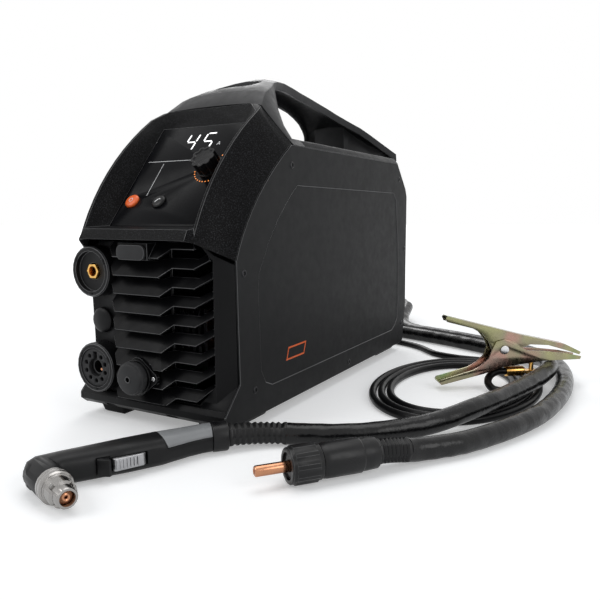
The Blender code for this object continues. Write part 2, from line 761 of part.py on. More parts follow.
HANDLE_WALL = 4 * MM
HANDLE_SKIRT = 8 * MM
HANDLE_CROWN = 5 * MM
HANDLE_EDGE = (                  # along Y: half width and height of the upper edge
    (-40, 34, 320), (-30, 30, 323), (-20, 27, 325.5), (0, 23, 327.5), (20, 22, 326),
    (40, 21.5, 323.5), (60, 21.5, 321.3), (80, 22, 318.5), (100, 24.5, 314.5), (120, 28, 309.5),
    (140, 34, 303.6), (152, 38.5, 299.8), (160, 42, 297), (175, 49.5, 289.5), (190, 58, 280.5),
    (205, 66, 272), (217, 70, 267))
WINDOW_HALF = 22 * MM
WINDOW_FRONT_Y = -65 * MM
WINDOW_BACK_Y = -40 * MM


def crown_at(u):
    """Height of the crowned top over its edge at a share of the half width."""
    return HANDLE_CROWN * (1 - u * u)


def handle_edge(y):
    """Half width and height of the handle's upper edge at a place along Y."""
    table = HANDLE_EDGE
    for (y0, w0, z0), (y1, w1, z1) in zip(table, table[1:]):
        if y <= y1 * MM:
            t = (y / MM - y0) / (y1 - y0)
            return (w0 + (w1 - w0) * t) * MM, (z0 + (z1 - z0) * t) * MM
    return table[-1][1] * MM, table[-1][2] * MM


def handle_skin():
    """Half of the handle's open surface: hood with its flanks, then the strip of the bar."""
    seat = PANEL_TOP_Z / MM + 7 + 0.2
    half = WIDTH / 2 / MM
    hood = [
        [(0, -98.9, 292), (22, -99.2, 291.8), (45, -100.2, 290.8), (58.4, -101, 288),
         (64, -99, 280), (70.5, -96, 271), (half - 8, -92.4, 262),
         (half - 2.8, -89.6, 255)],
        [(0, -81, 308), (22, -81, 307.6), (41, -81.5, 305.8), (50.5, -82, 303),
         (57, -82, 292), (64.5, -82.5, 281), (half - 13, -83.3, 269),
         (half - 5, -84, seat)],
        [(0, -62, 317), (18, -62, 316.6), (34, -61, 315), (43.5, -60, 312),
         (48, -62.5, 301), (57, -68, 287), (half - 18.5, -74.5, 272),
         (half - 5.8, -81.8, seat)],
        [(0, -40, 325), (14, -40, 324.2), (26, -40, 322.6), (34, -40, 320),
         (36, -38.5, 306), (46, -50, 290), (half - 25, -68, 272),
         (half - 7, -80, seat)]]
    shares = (0.0, 0.42, 0.78, 1.0)
    bm = bmesh.new()
    rows = [[bm.verts.new(mm(*p)) for p in row] for row in hood]
    for y, width, height in HANDLE_EDGE[1:]:
        row = []
        for u in shares:
            row.append(bm.verts.new(Vector((width * u * MM, y * MM, height * MM + crown_at(u)))))
        row.append(bm.verts.new(Vector(((width - 1) * MM, y * MM, height * MM - HANDLE_SKIRT))))
        rows.append(row)
    for near, far in zip(rows, rows[1:]):
        for j in range(min(len(near), len(far)) - 1):
            bm.faces.new((near[j], near[j + 1], far[j + 1], far[j]))
    last = rows[-1]
    tail = [bm.verts.new(v.co + Vector((0, 2 * MM, -9 * MM))) for v in last[:4]]
    for j in range(3):
        bm.faces.new((last[j], last[j + 1], tail[j + 1], tail[j]))
    bm.faces.new((last[3], last[4], tail[3]))
    return bm


def keel():
    """The solid foot at the rear of the handle, flaring to the shoulders."""
    sections = []
    for y, top_half, low_half in ((154, 21, 22), (165, 23, 26), (178, 30, 36),
                                  (186.9, 37.5, 45), (190, 40, 48),
                                  (200, 52, 58), (207, 60, 63.5)):
        y *= MM
        width, height = handle_edge(y)
        bottom = PANEL_TOP_Z + COVER_RISE + GAP
        crest = PANEL_CROWN_Y + 2.9 * MM
        if y > crest:
            bottom -= (y - crest) * 1.016 - 0.15 * MM
        top = []
        for share in (1.0, 0.5, 0.0, -0.5, -1.0):
            x = top_half * MM * share
            top.append((x, y + (5 * MM if y > 206 * MM else 0.0),
                        height + crown_at(x / width) - HANDLE_WALL / 2))
        waist_z = (height + bottom) / 2 + 2 * MM
        waist = (top_half + (low_half - top_half) * 0.25) * MM
        low = low_half * MM
        sections.append([(-waist, y, waist_z), (-low, y, bottom), (low, y, bottom),
                         (waist, y, waist_z)] + top)
    return loft("keel", sections)


def handle_foot():
    """The strip under the hood that stands on the side panels and meets the top cover."""
    half = WIDTH / 2
    top = PANEL_TOP_Z + COVER_RISE
    outline = [(-half, PANEL_TOP_Z + GAP), (-half + 2 * MM, PANEL_TOP_Z + GAP),
               (-half + 8 * MM, top - 4 * MM), (half - 8 * MM, top - 4 * MM),
               (half - 2 * MM, PANEL_TOP_Z + GAP), (half, PANEL_TOP_Z + GAP),
               (half - COVER_CHAMFER, top), (-half + COVER_CHAMFER, top)]
    back = COVER_SEAM_Y - GAP
    front = -88 * MM
    return plate("handle_foot", [outline], back - front, at(FRONT, y=(front + back) / 2))


def carry_handle():
    """Handle, hood and foot as one moulding, with the window through the hood."""
    bm = handle_skin()
    mesh = bpy.data.meshes.new("carry_handle")
    bm.to_mesh(mesh)
    bm.free()
    handle = mirrored(add_object("carry_handle", mesh))
    if sum(face.normal.z for face in handle.data.polygons) < 0:
        handle.data.flip_normals()
    handle = shell(handle, HANDLE_WALL)
    handle = join(handle, keel(), handle_foot())
    half = WINDOW_HALF
    opening = rounded((-half, WINDOW_FRONT_Y), (half, WINDOW_BACK_Y), 5 * MM, 3)
    cutter = plate("window", [opening], 60 * MM, Matrix.Translation((0, 0, 300 * MM)))
    handle = cut(handle, cutter)
    return done(handle, "housing_plastic", 35)


# ----------------------------------------------------------------------------
# Fascia and controls
# ----------------------------------------------------------------------------

def fascia_point(across, down, height=0.0):
    """World place of a point given across and down the fascia."""
    return FASCIA @ Vector((across, -down, height))


def fascia_outline(edge):
    """Outline of the fascia plate in its own plane, with round corners."""
    half = FASCIA_W / 2 - edge
    return rounded((-half, -FASCIA_L + edge), (half, -edge), 3 * MM, 2)


def control_fascia():
    """The glossy plate, with holes for the knob's shaft and the two buttons."""
    edge = GAP
    outlines = [fascia_outline(edge)]
    for (x, s), radius in ((KNOB_AT, SHAFT_R + GAP), (MODE_AT, MODE_R + GAP),
                           (FUNCTION_AT, FUNCTION_R + GAP)):
        outlines.append(circle((x, -s), radius, 18))
    panel = plate("control_fascia", outlines, FASCIA_T,
                  Matrix.Translation((0, 0, -FASCIA_T / 2)))
    return done(panel, "fascia_gloss", 30, FASCIA)


def control_board():
    """The board behind the fascia, on four stand-offs."""
    top = -FASCIA_T - BOARD_DEPTH
    x, s0, s1 = 40 * MM, 16 * MM, 108 * MM
    board = box("control_board", (-x, -s1, top - BOARD_T), (x, -s0, top))
    for px in (-x + 4 * MM, x - 4 * MM):
        for ps in (s0 + 4 * MM, s1 - 4 * MM):
            post = cylinder("post", (px, -ps, top - BOARD_T / 2),
                            (px, -ps, -FASCIA_T - GAP), 3 * MM, 12)
            board = join(board, post)
    kx, ks = KNOB_AT
    encoder = box("encoder", (kx - 6 * MM, -ks - 6 * MM, top - BOARD_T / 2),
                  (kx + 6 * MM, -ks + 6 * MM, top + 4 * MM))
    board = join(board, encoder)
    return done(board, "board_green", 30, FASCIA)


def current_knob():
    """The knob with its fluted skirt, on a shaft that reaches the encoder."""
    kx, ks = KNOB_AT
    foot = 0.8 * MM
    flutes = 16
    steps = 3
    outline = []
    for i in range(flutes * steps):
        angle = 2 * math.pi * i / (flutes * steps)
        radius = KNOB_R - (0.7 * MM if i % steps == 2 else 0.0)
        outline.append((radius * math.cos(angle), radius * math.sin(angle)))
    knob = plate("current_knob", [outline], KNOB_H - foot - 2 * MM,
                 Matrix.Translation((0, 0, foot + (KNOB_H - foot - 2 * MM) / 2)))
    crown = turned("crown", [(0, KNOB_H), (KNOB_R - 3.4 * MM, KNOB_H), (KNOB_R - 1.2 * MM,
                   KNOB_H - 1.2 * MM), (KNOB_R - 1.0 * MM, KNOB_H - 3 * MM),
                   (0, KNOB_H - 3 * MM)], 20)
    encoder_top = -FASCIA_T - BOARD_DEPTH + 4 * MM
    shaft = cylinder("shaft", (0, 0, encoder_top + GAP), (0, 0, foot + 1 * MM), SHAFT_R, 12)
    knob = join(knob, crown, shaft)
    return done(knob, "fascia_gloss", 40, FASCIA @ Matrix.Translation((kx, -ks, 0)))


def push_button(name, place, radius, slot):
    """A domed button with its stem towards the board."""
    x, s = place
    profile = [(0, BUTTON_PROUD), (radius - 1.2 * MM, BUTTON_PROUD - 0.4 * MM),
               (radius, BUTTON_PROUD - 1.4 * MM),
               (radius, -FASCIA_T - 1 * MM), (2.5 * MM, -FASCIA_T - 1.4 * MM),
               (2.5 * MM, -FASCIA_T - BUTTON_STEM), (0, -FASCIA_T - BUTTON_STEM)]
    button = turned(name, profile, 14)
    return done(button, slot, 40, FASCIA @ Matrix.Translation((x, -s, 0)))


# ----------------------------------------------------------------------------
# Sockets at the front
# ----------------------------------------------------------------------------

def socket_shell(name, height, bore, steps=24):
    """A round socket body: proud ring, sunk field, and a spigot through the frame."""
    front = SOCKET_PROUD
    seat = GAP
    recess = SPIGOT_R + 1.2 * MM
    profile = [(recess, front), (SOCKET_R - 1.2 * MM, front),
               (SOCKET_R, front - 1.2 * MM), (SOCKET_R, seat), (SPIGOT_R, seat),
               (SPIGOT_R, -FRONT_T - 3 * MM), (bore, -FRONT_T - 3 * MM), (bore, front - 5 * MM),
               (recess, front - 5 * MM)]
    shell_piece = turned(name, profile, steps, at(TURN_Y, SOCKET_X, FRONT_Y, height))
    return done(shell_piece, "rubber", 35)


def earth_socket_contact():
    """The brass contact: a hexagonal face with its bore, on a round shank."""
    front = SOCKET_PROUD - 3 * MM
    hexagon = circle((0, 0), CONTACT_R, 6)
    depth = 22 * MM
    contact = plate("earth_socket_contact", [hexagon, circle((0, 0), CONTACT_BORE_R, 12)], depth,
                    Matrix.Translation((0, 0, front - depth / 2)))
    frame = at(TURN_Y, SOCKET_X, FRONT_Y, EARTH_SOCKET_Z)
    return done(contact, "brass", 35, frame)


def torch_socket_insert():
    """The insert of the torch socket: a disc with its ring of pin holes and its gas bore."""
    front = SOCKET_PROUD - 1 * MM
    depth = 8 * MM
    outlines = [circle((0, 0), SPIGOT_R + 1.2 * MM - GAP, 24), circle((0, 0), TORCH_BORE_R, 12)]
    insert = plate("torch_socket_insert", outlines, 4 * MM - GAP,
                   Matrix.Translation((0, 0, front - (4 * MM - GAP) / 2)))
    for i in range(PORT_HOLES):
        angle = 2 * math.pi * i / PORT_HOLES
        x, y = 11.8 * MM * math.cos(angle), 11.8 * MM * math.sin(angle)
        hole = cylinder("pin_hole", (x, y, front - depth), (x, y, front + 1 * MM), 1.6 * MM, 6)
        insert = cut(insert, hole)
    frame = at(TURN_Y, SOCKET_X, FRONT_Y, TORCH_SOCKET_Z)
    return done(insert, "rubber", 35, frame)


def blank_plug():
    """The domed plug that closes the spare hole."""
    profile = [(0, BLANK_PROUD), (BLANK_R - 3 * MM, BLANK_PROUD - 0.5 * MM),
               (BLANK_R, BLANK_PROUD - 2.5 * MM), (BLANK_R, GAP), (6 * MM, GAP),
               (6 * MM, -FRONT_T - 2 * MM), (0, -FRONT_T - 2 * MM)]
    plug = turned("blank_plug", profile, 20, at(TURN_Y, SOCKET_X, FRONT_Y, BLANK_Z))
    return done(plug, "rubber", 35)


def remote_outline(clearance=0.0):
    """The diamond outline of the remote socket's flange."""
    hx, hz = REMOTE_HALF
    outline = []
    for cx, cz, radius, first in ((hx - 5 * MM, 0, 5 * MM, -50), (0, hz - 9 * MM, 9 * MM, 40),
                                  (-hx + 5 * MM, 0, 5 * MM, 130), (0, -hz + 9 * MM, 9 * MM, 220)):
        outline += arc((cx, cz), radius + clearance, first, first + 100, 3)
    return outline


def remote_socket_flange():
    """The remote socket: a diamond flange, its collar in front and its body behind."""
    outline = remote_outline()
    back = REMOTE_FACE_Y + REMOTE_T
    flange = plate("remote_socket_flange", [outline], REMOTE_T,
                   at(FRONT, z=REMOTE_Z, y=REMOTE_FACE_Y + REMOTE_T / 2))
    body = cylinder("body", (0, back - 1 * MM, REMOTE_Z), (0, -183 * MM, REMOTE_Z),
                    REMOTE_COLLAR_R + 2 * MM, 24)
    collar = cylinder("collar", (0, REMOTE_FACE_Y + 1 * MM, REMOTE_Z),
                      (0, REMOTE_FACE_Y - 8 * MM, REMOTE_Z), REMOTE_COLLAR_R, 24)
    bore = cylinder("bore", (0, REMOTE_FACE_Y - 10 * MM, REMOTE_Z),
                    (0, REMOTE_FACE_Y + 6 * MM, REMOTE_Z), REMOTE_COLLAR_R - 2 * MM, 24)
    flange = join(flange, body, collar)
    flange = cut(flange, bore)
    return done(flange, "grille_plastic", 35)


def remote_socket_cap():
    """The twist cap over the collar: a knurled cup with a groove for the tether."""
    tip = REMOTE_FACE_Y - CAP_FRONT_Y
    bore = REMOTE_COLLAR_R + GAP
    profile = [(0, tip), (CAP_R - 4 * MM, tip), (CAP_R - 1.6 * MM, tip - 1 * MM),
               (CAP_R - 1 * MM, tip - 3 * MM), (CAP_R, tip - 3.2 * MM), (CAP_R, 5 * MM),
               (CAP_R - 1.6 * MM, 4.4 * MM), (CAP_R - 1.6 * MM, 0.4 * MM), (bore, 0.4 * MM),
               (bore, tip - 3 * MM), (0, tip - 3 * MM)]
    cap = turned("remote_socket_cap", profile, 20)
    for i in range(6):
        angle = 2 * math.pi * i / 6
        x, y = CAP_R * math.cos(angle), CAP_R * math.sin(angle)
        scallop = cylinder("scallop", (x * 1.12, y * 1.12, 5.6 * MM),
                           (x * 1.12, y * 1.12, tip + 1 * MM), 3.4 * MM, 10)
        cap = cut(cap, scallop)
    frame = at(TURN_Y, 0, REMOTE_FACE_Y, REMOTE_Z)
    return done(cap, "grille_plastic", 35, frame)


def cap_tether():
    """The strap that rides loosely in the cap's groove and is screwed to the flange."""
    inner = CAP_R - 1.6 * MM + GAP
    outer = inner + 2.2 * MM
    ring = plate("cap_tether", [circle((0, 0), outer, 20), circle((0, 0), inner + 0.2 * MM, 20)], 1.8 * MM,
                 Matrix.Translation((0, 0, GAP + 1.6 * MM)))
    tab = box("tab", (-REMOTE_HALF[0] + 3 * MM, -3 * MM, GAP + 0.7 * MM),
              (-inner - 1 * MM, 3 * MM, GAP + 2.5 * MM))
    ring = join(ring, tab)
    return done(ring, "rubber", 35, at(TURN_Y, 0, REMOTE_FACE_Y, REMOTE_Z))


def port_cover():
    """The hinged flap over the port at the top of the grille, its barrel at its foot."""
    hx, hz = PORT_COVER_HALF
    outline = rounded((-hx, -hz), (hx, hz), 5 * MM, 4)
    flap = plate("port_cover", [outline], PORT_COVER_T,
                 at(FRONT, z=PORT_COVER_Z, y=PORT_COVER_Y + PORT_COVER_T / 2))
    return done(flap, "rubber", 35, None, port_hinge())


def port_hinge():
    """Place of the flap's hinge: along its lower edge, in the middle of its thickness."""
    return (0.0, PORT_COVER_Y + PORT_COVER_T / 2, PORT_COVER_Z - PORT_COVER_HALF[1])


# ----------------------------------------------------------------------------
# Rear fittings and the inside
# ----------------------------------------------------------------------------

REAR_FACE_Y = REAR_PANEL_Y + REAR_PANEL_T
TURN_REAR = axes((0, 0, 0), (1, 0, 0), (0, 0, -1), (0, 1, 0))  # turned about Y, top to the rear
SWITCH_HALF = (9 * MM, 13 * MM)
ROCKER_TILT = 7
TRAY_TOP_Z = PANEL_FOOT_Z + 0.1 * MM + TRAY_T


def mains_switch_frame():
    """The switch's flanged frame, open for its rocker."""
    sx, sz = SWITCH_AT
    hx, hz = SWITCH_HALF
    flange = box("mains_switch_frame", (sx - hx - 2 * MM, REAR_FACE_Y + GAP, sz - hz - 2 * MM),
                 (sx + hx + 2 * MM, REAR_FACE_Y + 2.3 * MM, sz + hz + 2 * MM))
    body = box("body", (sx - hx, 188 * MM, sz - hz), (sx + hx, REAR_FACE_Y + 1 * MM, sz + hz))
    well = box("well", (sx - hx + 2 * MM, 192 * MM, sz - hz + 2 * MM),
               (sx + hx - 2 * MM, 230 * MM, sz + hz - 2 * MM))
    frame = cut(join(flange, body), well)
    for side in (-1, 1):
        pin = cylinder("pin", (sx + side * (hx - 1 * MM), switch_axis_y(), sz),
                       (sx + side * (hx - 3.4 * MM), switch_axis_y(), sz), 1.6 * MM, 12)
        frame = join(frame, pin)
    return done(frame, "rubber", 30)


def switch_axis_y():
    """The rocker's pivot lies just inside the rear panel."""
    return REAR_PANEL_Y - 1.5 * MM


def mains_switch_rocker():
    """The rocker, at rest on its lower side, with a hole for the frame's pivot pins."""
    hx, hz = SWITCH_HALF
    half = hx - 2 * MM - GAP
    reach = hz - 2 * MM - 1.0 * MM
    outline = [(7.6 * MM, -reach), (4.8 * MM, 0), (7.6 * MM, reach), (2 * MM, reach),
               (-3.6 * MM, 3 * MM), (-3.6 * MM, -3 * MM), (2 * MM, -reach)]
    rocker = plate("mains_switch_rocker", [outline, circle((0, 0), 1.9 * MM, 12)], 2 * half, SIDE)
    rocker.data.transform(Matrix.Rotation(math.radians(-ROCKER_TILT), 4, "X"))
    frame = Matrix.Translation((SWITCH_AT[0], switch_axis_y(), SWITCH_AT[1]))
    return done(rocker, "rubber", 30, frame)


def cable_gland():
    """The gland for the mains cord: flange, shank through the panel, and a domed nut."""
    tip = REAR_TIP_Y - REAR_FACE_Y
    profile = [(5 * MM, tip), (8 * MM, tip), (10.4 * MM, tip - 2.5 * MM), (11 * MM, tip - 4 * MM),
               (11 * MM, tip - 12 * MM), (12.4 * MM, tip - 12.2 * MM), (12.4 * MM, GAP),
               (8 * MM, GAP), (8 * MM, -10 * MM), (5 * MM, -10 * MM)]
    gland = turned("cable_gland", profile, 18, at(TURN_REAR, GLAND_AT[0], REAR_FACE_Y, GLAND_AT[1]))
    return done(gland, "rubber", 30)


def air_inlet_fitting():
    """The brass air inlet: hexagon, nipple with its bore, and shank through the panel."""
    tip = REAR_TIP_Y - REAR_FACE_Y
    profile = [(2.6 * MM, tip), (4.4 * MM, tip), (5.2 * MM, tip - 3 * MM), (4.2 * MM, tip - 3.2 * MM),
               (5.2 * MM, tip - 6.2 * MM), (4.2 * MM, tip - 6.4 * MM), (5.2 * MM, tip - 9.4 * MM),
               (5.2 * MM, 4 * MM), (6.5 * MM, 4 * MM), (6.5 * MM, -9 * MM), (2.6 * MM, -9 * MM)]
    fitting = turned("air_inlet_fitting", profile, 12)
    hexagon = plate("hexagon", [circle((0, 0), 9.5 * MM, 6), circle((0, 0), 5 * MM, 12)], 6 * MM,
                    Matrix.Translation((0, 0, 3 * MM + GAP)))
    fitting = join(fitting, hexagon)
    return done(fitting, "brass", 30, at(TURN_REAR, AIR_AT[0], REAR_FACE_Y, AIR_AT[1]))


def fan_frame():
    """The fan's square frame, with a motor seat on four arms and the rotor's shaft."""
    half = FAN_FRAME / 2
    frame = plate("fan_frame", [rounded((-half, -half), (half, half), 4 * MM, 2),
                                circle((0, 0), FAN_BORE_R, 32)], FAN_DEPTH,
                  Matrix.Translation((0, 0, -FAN_DEPTH / 2)))
    for i in range(4):
        arm = box("arm", (FAN_HUB_R - 3 * MM, -2 * MM, -4 * MM), (FAN_BORE_R + 1 * MM, 2 * MM, -0.4 * MM))
        arm.data.transform(Matrix.Rotation(math.radians(45 + 90 * i), 4, "Z"))
        frame = join(frame, arm)
    seat = cylinder("seat", (0, 0, -4.5 * MM), (0, 0, -0.2 * MM), FAN_HUB_R, 24)
    shaft = cylinder("shaft", (0, 0, -FAN_DEPTH + 4 * MM), (0, 0, -2 * MM), 2.2 * MM, 12)
    frame = join(frame, seat, shaft)
    place = at(TURN_REAR, 0, REAR_PANEL_Y - GAP, FAN_Z)
    return done(frame, "rubber", 30, place)


def fan_rotor():
    """The rotor: a hub on the shaft and pitched blades."""
    front = -4.5 * MM - GAP
    back = -FAN_DEPTH + 5 * MM
    hub = plate("fan_rotor", [circle((0, 0), FAN_HUB_R, 21), circle((0, 0), 2.2 * MM + GAP, 12)],
                front - back, Matrix.Translation((0, 0, (front + back) / 2)))
    middle = (front + back) / 2
    for i in range(FAN_BLADES):
        blade = box("blade", (FAN_HUB_R - 1.5 * MM, -12 * MM, -0.7 * MM),
                    (FAN_BORE_R - 1.5 * MM, 12 * MM, 0.7 * MM))
        blade.data.transform(Matrix.Rotation(math.radians(30), 4, "X"))
        for vert in blade.data.vertices:
            radius = Vector((vert.co.x, vert.co.y)).length
            if radius > FAN_BORE_R - 1.5 * MM:
                scale = (FAN_BORE_R - 1.5 * MM) / radius
                vert.co.x *= scale
                vert.co.y *= scale
        blade.data.transform(Matrix.Translation((0, 0, middle)))
        blade.data.transform(Matrix.Rotation(2 * math.pi * i / FAN_BLADES, 4, "Z"))
        hub = join(hub, blade)
    place = at(TURN_REAR, 0, REAR_PANEL_Y - GAP, FAN_Z)
    return done(hub, "rubber", 30, place)


BOARD_X = (-72 * MM, -4 * MM)
BOARD_Y = (-130 * MM, 120 * MM)
MAIN_BOARD_Z = 26 * MM
SINK_Y = (-90 * MM, 60 * MM)


def main_board():
    """The power board on its stand-offs."""
    board = box("main_board", (BOARD_X[0], BOARD_Y[0], MAIN_BOARD_Z),
                (BOARD_X[1], BOARD_Y[1], MAIN_BOARD_Z + BOARD_T))
    for x in (BOARD_X[0] + 6 * MM, BOARD_X[1] - 6 * MM):
        for y in (BOARD_Y[0] + 6 * MM, BOARD_Y[1] - 6 * MM):
            post = cylinder("post", (x, y, TRAY_TOP_Z + GAP), (x, y, MAIN_BOARD_Z + 0.5 * MM),
                            3.5 * MM, 10)
            board = join(board, post)
    return done(board, "board_green", 30)


def heat_sink():
    """The finned heat sink that stands on the board."""
    low = MAIN_BOARD_Z + BOARD_T + GAP
    x0, x1 = BOARD_X[0] + 8 * MM, BOARD_X[1] - 16 * MM
    base = 6 * MM
    height = 62 * MM
    fins = 6
    outline = [(x1, low), (x0, low)]
    pitch = (x1 - x0) / (fins - 0.5)
    for i in range(fins):
        left = x0 + i * pitch
        outline += [(left, low + height), (left + pitch / 2, low + height)]
        if i < fins - 1:
            outline += [(left + pitch / 2, low + base), (left + pitch, low + base)]
    y0, y1 = SINK_Y
    sink = plate("heat_sink", [outline], y1 - y0, at(FRONT, y=(y0 + y1) / 2))
    return done(sink, "aluminium", 30)


def power_transformer():
    """The transformer: a laminated core with its winding, on the tray."""
    low = TRAY_TOP_Z + GAP
    core = box("power_transformer", (16 * MM, -60 * MM, low), (68 * MM, 10 * MM, low + 70 * MM))
    winding = box("winding", (8 * MM, -45 * MM, low + 14 * MM), (76 * MM, -5 * MM, low + 56 * MM))
    bevelled = bake(bevel(winding, 8 * MM, 3))
    core = join(core, bevelled)
    return done(core, "copper", 30)


def capacitor_bank():
    """Two capacitors on their common base."""
    low = TRAY_TOP_Z + GAP
    base = box("capacitor_bank", (14 * MM, 36 * MM, low), (70 * MM, 130 * MM, low + 5 * MM))
    for y in (60 * MM, 106 * MM):
        can = cylinder("can", (42 * MM, y, low + 3 * MM), (42 * MM, y, low + 62 * MM), 19 * MM, 20)
        base = join(base, can)
    return done(base, "rubber", 30)


# ----------------------------------------------------------------------------
# Torch
# ----------------------------------------------------------------------------

TORCH_ORIGIN = mm(20.2, -332.3, 12.05)
TORCH_HEADING = 61.2
TORCH = plan_frame(TORCH_ORIGIN, TORCH_HEADING)
HEAD_AXIS = Vector((0.1357, -0.9908, 0.0)).normalized()
HEAD_R = 11.6 * MM
HEAD_END = 26 * MM
COLLAR_AT = mm(128, -1.2, 0)
COLLAR_TURN = -15
COLLAR_LEN = 13.5 * MM
COLLAR_R = 12 * MM
TRIGGER_X = (46 * MM, 71 * MM)
TRIGGER_FACE = 17.6 * MM
TRIGGER_PIVOT = mm(68.5, -13.2, 0)
CATCH_PIVOT = mm(37.5, -14.6, 0)
INSERT_START = 88 * MM
INSERT_Z = 3.5 * MM


def oval(centre, heading, half_side, half_height, count=16, power=2.5):
    """A soft rectangular section square to a heading in the torch's plane."""
    side = Vector((-math.sin(heading), math.cos(heading), 0))
    points = []
    for i in range(count):
        angle = 2 * math.pi * i / count
        c, s = math.cos(angle), math.sin(angle)
        u = math.copysign(abs(c) ** (2 / power), c) * half_side
        v = math.copysign(abs(s) ** (2 / power), s) * half_height
        points.append(Vector(centre) + side * u + Vector((0, 0, v)))
    return points


def torch_solid(name):
    """The grip's full form: rounded elbow, head, swelling grip, and waist to the collar."""
    stations = ((-10, -4, 0, 5, 6.5), (-8, -3, 0, 8.6, 9.3), (-2, -2, 0, 11.4, 11.4),
                (14, -0.5, 0, 11.4, 11.4), (35, -1, 0, 12.6, 11.6), (60, -1.5, 0, 14, 12),
                (85, -1.6, 0, 14.2, 12), (90, -1.4, 0, 13.2, 11.8), (108, -0.4, -3, 11.4, 11.2),
                (120, -0.2, -10, 11, 11), (COLLAR_AT.x / MM, COLLAR_AT.y / MM, COLLAR_TURN, 11, 11))
    sections = []
    for x, y, turn, half_side, half_height in stations:
        sections.append(oval(mm(x, y, 0), math.radians(turn), half_side * MM, half_height * MM))
    grip = loft(name, sections)
    head = cylinder("head", (0, 0, 0), HEAD_AXIS * HEAD_END, HEAD_R, 20)
    return join(grip, head)


def insert_block(clearance):
    """The space of the grey insert: above a level, behind a slanted face."""
    low = INSERT_Z - clearance
    start = INSERT_START - clearance
    outline = [(start, low), (140 * MM, low), (140 * MM, 30 * MM), (start - 9 * MM, 30 * MM)]
    frame = axes((0, 0, 0), (1, 0, 0), (0, 0, 1), (0, -1, 0))
    return plate("insert_block", [outline], 60 * MM, frame)


def torch_body():
    """The moulded torch, with the pockets of its trigger and catch."""
    body = torch_solid("torch_body")
    body = cut(body, insert_block(GAP))
    x0, x1 = TRIGGER_X
    pocket = box("pocket", (x0 - 0.8 * MM, -24 * MM, -5 * MM), (x1 + 0.8 * MM, -7.6 * MM, 5 * MM))
    body = cut(body, pocket)
    notch = box("notch", (CATCH_PIVOT.x - 2.5 * MM, -24 * MM, -6.4 * MM),
                (x0 - 1 * MM, CATCH_PIVOT.y + 2.5 * MM, 6.4 * MM))
    body = cut(body, notch)
    return done(body, "housing_plastic", 35, TORCH)


def torch_grip_insert():
    """The grey insert let into the top of the grip."""
    insert = boolean(torch_solid("torch_grip_insert"), insert_block(0.0), "INTERSECT")
    return done(insert, "grey_plastic", 35, TORCH)


def torch_trigger():
    """The trigger, pivoted at its rear end."""
    x0, x1 = TRIGGER_X
    outline = [(x0, -10.8 * MM), (x0 + 0.5 * MM, -TRIGGER_FACE + 1 * MM),
               (x0 + 2 * MM, -TRIGGER_FACE), (x1 - 3 * MM, -TRIGGER_FACE + 0.8 * MM),
               (x1 - 0.6 * MM, -TRIGGER_FACE + 3 * MM), (x1 - 0.6 * MM, -11.4 * MM),
               (x1 - 3 * MM, -10.6 * MM)]
    trigger = plate("torch_trigger", [outline], 9.2 * MM)
    trigger.data.transform(Matrix.Translation(-TRIGGER_PIVOT))
    return done(trigger, "aluminium", 35, TORCH @ Matrix.Translation(TRIGGER_PIVOT))


def torch_safety_catch():
    """The catch that stands in front of the trigger."""
    px, py = CATCH_PIVOT.x, CATCH_PIVOT.y
    outline = arc((px, py), 2.2 * MM, 30, 240, 8)
    outline += [(px + 4.6 * MM, py - 6.4 * MM), (px + 6.4 * MM, py - 5.4 * MM),
                (px + 5.6 * MM, py - 2 * MM)]
    catch = plate("torch_safety_catch", [outline], 12.2 * MM)
    catch.data.transform(Matrix.Translation(-CATCH_PIVOT))
    return done(catch, "housing_plastic", 35, TORCH @ Matrix.Translation(CATCH_PIVOT))


def collar_frame():
    """Frame of the collar: its axis along X, at the end of the grip."""
    return TORCH @ Matrix.Translation(COLLAR_AT) @ Matrix.Rotation(math.radians(COLLAR_TURN), 4, "Z")


def along_x(frame):
    """Turn a frame so that a turned piece's axis runs along its X."""
    return frame @ Matrix.Rotation(math.radians(90), 4, "Y")


def torch_collar():
    """The collar between grip and boot."""
    profile = [(0, COLLAR_LEN), (COLLAR_R - 1 * MM, COLLAR_LEN), (COLLAR_R, COLLAR_LEN - 1 * MM),
               (COLLAR_R, 1 * MM), (COLLAR_R - 1 * MM, GAP), (0, GAP)]
    collar = turned("torch_collar", profile, 20, along_x(Matrix.Identity(4)))
    return done(collar, "rubber", 35, collar_frame())


def hermite(start, start_dir, end, end_dir, count):
    """Points of a smooth curve between two places with given directions."""
    points = []
    span = (end - start).length
    for i in range(count + 1):
        t = i / count
        a = 2 * t ** 3 - 3 * t ** 2 + 1
        b = t ** 3 - 2 * t ** 2 + t
        c = -2 * t ** 3 + 3 * t ** 2
        d = t ** 3 - t ** 2
        points.append(start * a + start_dir * span * b + end * c + end_dir * span * d)
    return points


def ribbed(name, start, start_dir, end, end_dir, radius, depth, ribs):
    """A ribbed boot along a smooth curve, with a plain length at each end."""
    collar = 2.5 * MM
    curve = hermite(start + start_dir * collar, start_dir, end - end_dir * collar, end_dir,
                    2 * ribs)
    waist = 1.0 - depth / radius
    samples = [start] + curve + [end]
    scales = [1.0] + [waist if i % 2 else 1.0 for i in range(len(curve))] + [1.0]
    return tube(name, samples, radius, 2, scales)


BOOT_R = 9.85 * MM
BOOT_RIB = 1.6 * MM
TORCH_BOOT_END = mm(129.5, -179.6, 9.95)
TORCH_BOOT_DIR = Vector((math.cos(math.radians(24)), math.sin(math.radians(24)), -0.02)).normalized()


def torch_boot():
    """The ribbed boot that bends from the collar to the hose."""
    frame = collar_frame()
    start = frame @ Vector((COLLAR_LEN + GAP, 0, 0))
    direction = (frame.to_3x3() @ Vector((1, 0, 0))).normalized()
    boot = ribbed("torch_boot", start, direction, TORCH_BOOT_END, TORCH_BOOT_DIR, BOOT_R,
                  BOOT_RIB, 9)
    return done(boot, "rubber", 30)


